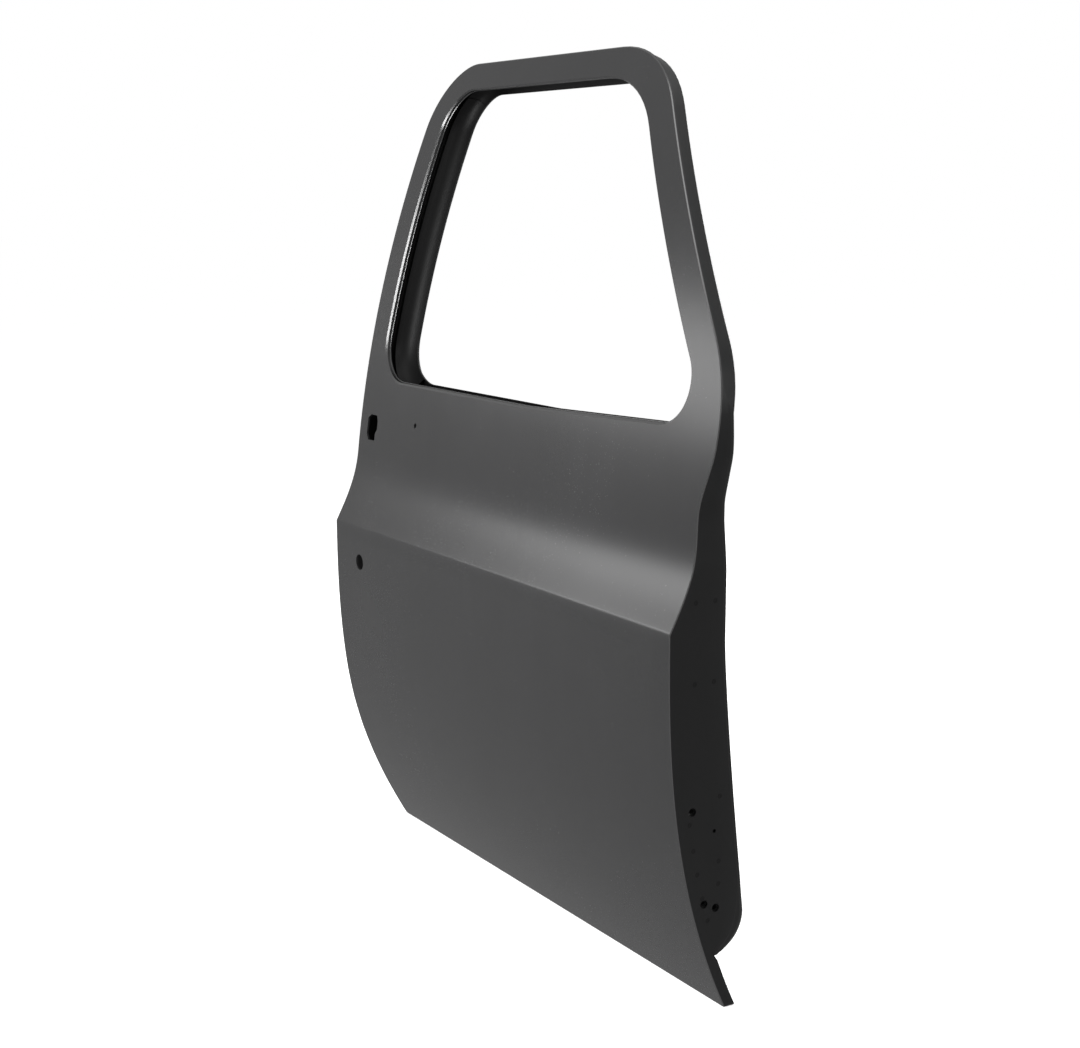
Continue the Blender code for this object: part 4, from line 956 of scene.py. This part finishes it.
class DOOR_OT_panel(bpy.types.Operator):
    """Inner panel: one fine deep pressing with walls, land, trim face, openings and window frame"""

    bl_idname = "door.panel"
    bl_label = "Inner panel"

    def execute(self, context):
        sizes, finish = context.scene.door_sizes, context.scene.door_finish
        land = lambda x, z: land_y(z)
        wall = inset(SKIN_CORNERS, sizes.sheet + CLEARANCE)
        sheet = PressedSheet(panel_levels(sizes.fineness), trim_y, sizes.net_step)
        for turn in ROUND_TURNS:
            left = 1 - math.sin(turn)
            ring = rounded(inset(wall, 2 * WALL_FOOT_STEP + WALL_CORNER_RADIUS * left))
            ring = pushed(ring, lambda z, left=left: HEM_WIDTH * frame_share(z)
                          + (corner_radius(z) - WALL_CORNER_RADIUS) * left)
            sheet.add(ring, lambda x, z, turn=turn: land_y(z) - corner_radius(z) * (1 - math.cos(turn)))
        ring = rounded(inset(wall, WALL_FOOT_STEP))
        ring = pushed(ring, lambda z: (HEM_WIDTH - FRAME_WALL_SLOPE) * frame_share(z))
        sheet.add(ring, lambda x, z: wall_foot_y(z, FOOT_SLOPE))
        foot = sheet.add(rounded(wall), lambda x, z: wall_foot_y(z, 2 * FOOT_SLOPE), "outer")
        eased_rings(sheet, TRIM_CORNERS, TRIM_STEP, land, trim_y)
        window = inset(WINDOW_CORNERS, INNER_WINDOW_INSETS)
        lip_radius = sizes.inner_lip_radius
        for turn in ROUND_TURNS[:-1]:
            ring = rounded(inset(window, -lip_radius * (1 - math.sin(turn))))
            sheet.add(ring, lambda x, z, turn=turn: trim_y(x, z) - lip_radius * (1 - math.cos(turn)))
        lip = sheet.add(rounded(window), lambda x, z: trim_y(x, z) - lip_radius, "hole")
        sheet.add(rounded([(x, z, ACCESS_RADIUS) for x, z in ACCESS_CORNERS]), trim_y, "hole")
        for x0, x1, z0, z1 in ACCESS_BOXES:
            sheet.add(box_outline(x0, x1, z0, z1, ACCESS_RADIUS), trim_y, "hole")
        for hole in ROUND_HOLES:
            sheet.add(hole_outline(*hole, SCREW_SIDES), trim_y, "hole")
        rear, front, low, high = CLIP_ENDS
        for share in CLIP_SHARES:
            for x, z in ((front, low + (high - low) * share), (rear + (front - rear) * share, low)):
                sheet.add(hole_outline(x, z, CLIP_DIAMETER, CLIP_SIDES), trim_y, "hole")
        x0, x1, z0, z1 = BEAD_BOX
        for share in EASED_SHARES:
            step = BEAD_SLOPE * share
            lift = BEAD_DEPTH * (1 - math.cos(math.pi * share)) / 2
            grow = (z1 - z0) / 2 - step
            ring = box_outline(x0 + step, x1 - step, z0 + step, z1 - step, grow - CLEARANCE)
            sheet.add(ring, lambda x, z, lift=lift: trim_y(x, z) - lift)
        width, height = DRAIN_SIZE
        for x in DRAIN_PLACES:
            span = (x - width / 2, x + width / 2, DRAIN_HEIGHT - height, DRAIN_HEIGHT)
            sheet.add(box_outline(*span, DRAIN_RADIUS), land, "hole")
        bm, open_edges = sheet.build()
        fold(bm, open_edges[foot], lambda x, z: skin_y(z) + WALL_START, steps=3)
        fold(bm, open_edges[lip], lambda x, z: trim_y(x, z) - INNER_LIP)
        bmesh.ops.remove_doubles(bm, verts=bm.verts, dist=DOUBLE)
        towards(bm, 1)
        hinge_side, lock_side = (WALL_X - WALL_CUT, WALL_X + WALL_CUT), (-WALL_CUT, WALL_CUT)
        cutters = [peg(hole_outline(*hole, BOLT_SIDES), *hinge_side) for hole in HINGE_HOLES]
        cutters += [peg(hole_outline(*hole, SCREW_SIDES), *lock_side) for hole in LATCH_SCREWS]
        cutters.append(peg(box_outline(*LATCH_MOUTH, LATCH_MOUTH_RADIUS), *lock_side))
        piece = settle(bm, "pressed_panel", sizes.sheet, cutters)
        carry(piece, "inner_panel", panel_material("panel_primer", finish))
        return {"FINISHED"}


def glass_run(path, name, thickness):
    """Curved channel wall along a path of points and outward directions."""
    bm = bmesh.new()
    rows = []
    for point, outward in path:
        row = []
        for i in range(RUN_STEPS + 1):
            share = i / RUN_STEPS
            place = point + outward * (RUN_GAP + RUN_SPREAD * (1 - (1 - share) ** RUN_BEND))
            row.append(bm.verts.new((place.x, trim_y(*place) - RUN_SEAT - RUN_DEPTH * share, place.y)))
        rows.append(row)
    for low, high in zip(rows, rows[1:]):
        for i in range(RUN_STEPS):
            bm.faces.new((low[i], low[i + 1], high[i + 1], high[i]))
    bmesh.ops.recalc_face_normals(bm, faces=bm.faces)
    if sum(f.normal.y for f in bm.faces) > 0:
        bmesh.ops.reverse_faces(bm, faces=bm.faces)
    return settle(bm, name, thickness, sharp=RUN_SHARP)


class DOOR_OT_glass_runs(bpy.types.Operator):
    """Glass run retainers behind the rear post and the header, mitred in the top corner"""

    bl_idname = "door.glass_runs"
    bl_label = "Glass run retainers"

    def execute(self, context):
        sizes, finish = context.scene.door_sizes, context.scene.door_finish
        corners = inset(WINDOW_CORNERS, INNER_WINDOW_INSETS)
        x, low, bend = corners[0]
        foot = Vector((x + bend, low + bend))
        x, z, radius = corners[-1]
        centre = Vector((x + radius, z - radius))
        half_corner, steps = math.pi / 4, RUN_TURN_STEPS

        def spoke(turn, middle=centre, reach=radius):
            outward = Vector((-math.cos(turn), math.sin(turn)))
            return middle + outward * reach, outward

        up = [spoke(-RUN_FOOT_TURN * (1 - i / steps), foot, bend) for i in range(steps)]
        up += [(Vector((x, level)), Vector((-1, 0))) for level in spread(foot.y, centre.y, 24)]
        up += [spoke((half_corner - MITRE_TURN) * i / steps) for i in range(steps + 1)]
        start = half_corner + MITRE_TURN
        over = [spoke(start + (half_corner - MITRE_TURN) * i / steps) for i in range(steps + 1)]
        over += [(Vector((along, z)), Vector((0, 1))) for along in HEADER_RUN]
        # Darker grey and lower index than the panel: painted shade in the glass channel's recess.
        look = (finish.run_painted_shade_grey, finish.panel_roughness + 0.05, finish.run_ior)
        material = primer_material("run_primer_painted_shade", *look)
        for path, side in ((up, "rear"), (over, "top")):
            piece = glass_run(path, side + "_glass_run", sizes.sheet)
            carry(piece, side + "_run_retainer", material)
        return {"FINISHED"}


class DOOR_OT_inner_pieces(bpy.types.Operator):
    """Finishes of the plates, beams, brackets, nuts and mastic that stay as their solids"""

    bl_idname = "door.inner_pieces"
    bl_label = "Inner pieces"

    def execute(self, context):
        finish = context.scene.door_finish
        grey, roughness, ior = finish.panel_grey, finish.panel_roughness, finish.panel_ior
        plate = primer_material("plate_primer", grey * 1.3, roughness + 0.05, ior)
        beam = primer_material("beam_primer", grey * 1.1, roughness, ior)
        nut = primer_material("nut_primer", grey * 2.2, roughness - 0.08, NUT_IOR)
        mastic = mastic_material("mastic")
        kinds = (("mastic", mastic), ("nut", nut), ("reinforcement", beam), ("stiffener", beam))
        for name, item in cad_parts.items():
            chosen = next((material for word, material in kinds if word in name), plate)
            for slot in item.material_slots:
                slot.material = chosen
        return {"FINISHED"}


# ---- Weld marks ----

def weld_row(start, end, count, depth):
    """Places of even welds from one end to the other, on a face of a given depth."""
    (x0, z0), (x1, z1) = start, end
    shares = [i / (count - 1) for i in range(count)]
    flat = [(x0 + (x1 - x0) * share, z0 + (z1 - z0) * share) for share in shares]
    return [Vector((x, depth(x, z), z)) for x, z in flat]


def weld_places():
    """Spot welds as (place, facing) pairs, in rows along the joints of the sheets."""
    hinge = [(skin_y(z) + HINGE_WELD_DEPTH, z) for z in HINGE_WELD_HEIGHTS] + list(HINGE_PLATE_WELDS)
    inner = [place for row in TRIM_WELD_ROWS for place in weld_row(*row, trim_y)]
    inner += weld_row(*FLANGE_WELD_ROW, lambda x, z: land_y(z))
    inner += [Vector((x, trim_y(x, z), z)) for x, z in REGULATOR_WELDS]
    places = [(Vector((WALL_X, y, z)), Vector((1, 0, 0))) for y, z in hinge]
    places += [(Vector((LATCH_WELD_X, y, z)), Vector((-1, 0, 0))) for y, z in LATCH_WELDS]
    return places + [(place, Vector((0, 1, 0))) for place in inner]


def weld_tree():
    """Node tree that puts a shallow dished mark on every point of a mesh."""
    tree = bpy.data.node_groups.new("weld_marks", "GeometryNodeTree")
    sockets = (("Geometry", "Geometry"), ("Diameter", "Float"), ("Height", "Float"), ("Material", "Material"))
    for name, kind in sockets:
        tree.interface.new_socket(name, in_out="INPUT", socket_type="NodeSocket" + kind)
    tree.interface.new_socket("Geometry", in_out="OUTPUT", socket_type="NodeSocketGeometry")

    graph = Graph(tree)
    given = tree.nodes.new("NodeGroupInput").outputs
    points, diameter, height, material = (Value(graph, given[name]) for name, _ in sockets)

    def cone(top, bottom, depth):
        values = {"Vertices": WELD_SIDES, "Radius Top": top, "Radius Bottom": bottom, "Depth": depth}
        return graph.node("GeometryNodeMeshCone", {"fill_type": "NONE"}, values)

    def disc(radius):
        values = {"Vertices": WELD_SIDES, "Radius": radius}
        return graph.node("GeometryNodeMeshCircle", {"fill_type": "NGON"}, values)

    def flipped(mesh):
        return graph.node("GeometryNodeFlipFaces", values={"Mesh": mesh})

    def lifted(geometry):
        up = graph.node("ShaderNodeCombineXYZ", values={"Z": height * (1 - WELD_DISH_DEPTH)})
        return graph.node("GeometryNodeTransform", values={"Geometry": geometry, "Translation": up})

    foot, rim, dish = diameter * 0.5, diameter * WELD_RIM, diameter * WELD_DISH
    hollow = lifted(flipped(cone(rim, dish, height * WELD_DISH_DEPTH)))
    parts = [cone(rim, foot, height), hollow, lifted(disc(dish)), flipped(disc(foot))]
    joined = graph.node("GeometryNodeJoinGeometry", values={0: parts})
    mark = graph.node("GeometryNodeMergeByDistance", values={"Geometry": joined, "Distance": DOUBLE})
    facing = graph.node("GeometryNodeInputNamedAttribute", {"data_type": "FLOAT_VECTOR"}, {"Name": "facing"})
    turned = graph.node("FunctionNodeAlignRotationToVector", {"axis": "Z"}, {"Vector": facing})
    values = {"Points": points, "Instance": mark, "Rotation": turned}
    spots = graph.node("GeometryNodeInstanceOnPoints", values=values)
    real = graph.node("GeometryNodeRealizeInstances", values={"Geometry": spots})
    painted = graph.node("GeometryNodeSetMaterial", values={"Geometry": real, "Material": material})
    graph.node("NodeGroupOutput", values={0: painted})
    return tree


class DOOR_OT_weld_marks(bpy.types.Operator):
    """Spot weld marks in rows along the joints, made by one node tree"""

    bl_idname = "door.weld_marks"
    bl_label = "Weld marks"

    def execute(self, context):
        sizes, finish = context.scene.door_sizes, context.scene.door_finish
        places = weld_places()
        mesh = bpy.data.meshes.new("weld_marks")
        mesh.from_pydata([place + DATUM for place, _ in places], [], [])
        facing = mesh.attributes.new("facing", "FLOAT_VECTOR", "POINT")
        for item, (_, direction) in zip(facing.data, places):
            item.vector = direction
        piece = placed("weld_marks", mesh)
        # The weld marks take a darker copy of the inner primer: painted shade of their hollows.
        grey = finish.panel_grey * WELD_PAINTED_SHADE
        material = primer_material("weld_primer_painted_shade", grey, finish.panel_roughness, finish.panel_ior)
        tree = weld_tree()
        modifier = piece.modifiers.new("welds", "NODES")
        modifier.node_group = tree
        inputs = {item.name: item.identifier for item in tree.interface.items_tree if item.in_out == "INPUT"}
        modifier[inputs["Diameter"]] = sizes.weld_diameter
        modifier[inputs["Height"]] = sizes.weld_height
        modifier[inputs["Material"]] = material
        flatten(piece)
        if not piece.data.polygons:
            raise RuntimeError("the weld marks came out empty")
        smooth(piece.data, WELD_SHARP)
        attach(piece, ROOT)
        return {"FINISHED"}


# ---- Stage ----

def stage_material(name, colour, glow, mirrored_level):
    """Pale matte floor that keeps the shadow: lifted to white in view, a plain grey where mirrored."""
    graph = Paint(name)

    def ray(kind):
        return graph.node("ShaderNodeLightPath", output=kind)

    def glowing(strength):
        return graph.node("ShaderNodeEmission", values={"Color": WHITE, "Strength": strength})

    def blend(share, first, second):
        return graph.node("ShaderNodeMixShader", values={0: share, 1: first, 2: second})

    paper = graph.node("ShaderNodeBsdfDiffuse", values={"Color": (*colour, 1.0)})
    lifted = graph.node("ShaderNodeAddShader", values={0: paper, 1: glowing(glow)})
    seen = blend(ray("Is Camera Ray"), paper, lifted)
    bounced = graph.ramp(ray("Is Glossy Ray") + ray("Is Transmission Ray"), 0.0, 1.0)
    graph.node("ShaderNodeOutputMaterial", values={"Surface": blend(bounced, seen, glowing(mirrored_level))})
    return graph.material


def lamp(name, place, target, size, level):
    """Soft lamp of an even brightness that looks at a target."""
    light = bpy.data.lights.new(name, "AREA")
    light.shape = "RECTANGLE"
    light.size, light.size_y = size
    light.energy = level * size[0] * size[1] * LAMP_WATTS
    item = placed(name, light)
    item.location = place
    item.rotation_euler = (Vector(target) - Vector(place)).to_track_quat("-Z", "Y").to_euler()


def floor_sheet(colour, glow, mirrored_level):
    """Wide round floor under the door."""
    bm = bmesh.new()
    bmesh.ops.create_circle(bm, cap_ends=True, segments=96, radius=FLOOR_RADIUS)
    floor = drawn(bm, "floor", (0, 0, CAD_BOX[0][2] - FLOOR_GAP))
    floor.data.materials.append(stage_material("floor_paper", colour, glow, mirrored_level))


class DOOR_OT_stage(bpy.types.Operator):
    """Camera, lamps, room light and pale floor"""

    bl_idname = "door.stage"
    bl_label = "Stage"

    def execute(self, context):
        stage = context.scene.door_stage
        camera = bpy.data.cameras.new("camera")
        camera.lens = CAMERA_LENS
        camera.sensor_width = CAMERA_SENSOR
        camera.sensor_fit = "HORIZONTAL"
        item = placed("camera", camera)
        context.scene.camera = item
        a, p = CAMERA_TURN, CAMERA_TILT
        right = Vector((math.cos(a), math.sin(a), 0.0))
        ahead = Vector((-math.sin(a) * math.cos(p), math.cos(a) * math.cos(p), -math.sin(p)))
        turn = Matrix((right, right.cross(ahead), -ahead)).transposed().to_4x4()
        item.matrix_world = Matrix.Translation(CAMERA_PLACE) @ turn
        floor_sheet(stage.floor_colour, stage.floor_glow, stage.mirrored_floor)
        lamp("light_panel", *LIGHT_PANEL, stage.panel_level)
        lamp("lip_strip", *LIP_STRIP, stage.strip_level)
        lamp("back_light", *BACK_LIGHT, stage.back_level)
        lamp("top_light", *TOP_LIGHT, stage.sky_level)
        lamp("inner_light", *INNER_LIGHT, stage.inner_level)
        world = bpy.data.worlds.new("room")
        context.scene.world = world
        world.use_nodes = True
        graph = Graph(world.node_tree)
        level = stage.room_level
        for kind, strength in (("Is Glossy Ray", stage.mirrored_level), ("Is Camera Ray", 1.0)):
            ray = graph.node("ShaderNodeLightPath", output=kind)
            level = graph.node("ShaderNodeMix", values={"Factor": ray, "A": level, "B": strength})
        ground = world.node_tree.nodes["Background"].inputs
        ground["Color"].default_value = WHITE
        world.node_tree.links.new(level.socket, ground["Strength"])
        context.scene.view_settings.view_transform = "Standard"
        return {"FINISHED"}


class DOOR_PT_panel(bpy.types.Panel):
    """Lists the door's operators in the sidebar"""

    bl_idname = "DOOR_PT_panel"
    bl_label = "Door shell"
    bl_space_type = "VIEW_3D"
    bl_region_type = "UI"
    bl_category = "Door shell"

    def draw(self, context):
        layout = self.layout
        for group in (context.scene.door_sizes, context.scene.door_finish, context.scene.door_stage):
            for key in group.bl_rna.properties.keys():
                if key not in ("name", "rna_type"):
                    layout.prop(group, key)
        for operator in OPERATORS:
            layout.operator(operator.bl_idname)


GROUPS = (("door_sizes", DoorSizes), ("door_finish", DoorFinish), ("door_stage", DoorStage))
OPERATORS = (
    DOOR_OT_stage, DOOR_OT_inner_pieces, DOOR_OT_skin, DOOR_OT_panel, DOOR_OT_glass_runs, DOOR_OT_weld_marks,
)


def register():
    """Registers the settings, the operators and the panel."""
    for name, group in GROUPS:
        bpy.utils.register_class(group)
        setattr(bpy.types.Scene, name, PointerProperty(type=group))
    for item in (*OPERATORS, DOOR_PT_panel):
        bpy.utils.register_class(item)


def unregister():
    """Takes them away again, last one first."""
    for item in (DOOR_PT_panel, *reversed(OPERATORS)):
        bpy.utils.unregister_class(item)
    for name, group in reversed(GROUPS):
        delattr(bpy.types.Scene, name)
        bpy.utils.unregister_class(group)


def main():
    """Registers the settings and operators, and dresses the frame."""
    register()
    for operator in OPERATORS:
        getattr(bpy.ops.door, operator.bl_idname.split(".")[1])()


if __name__ == "__main__":
    main()
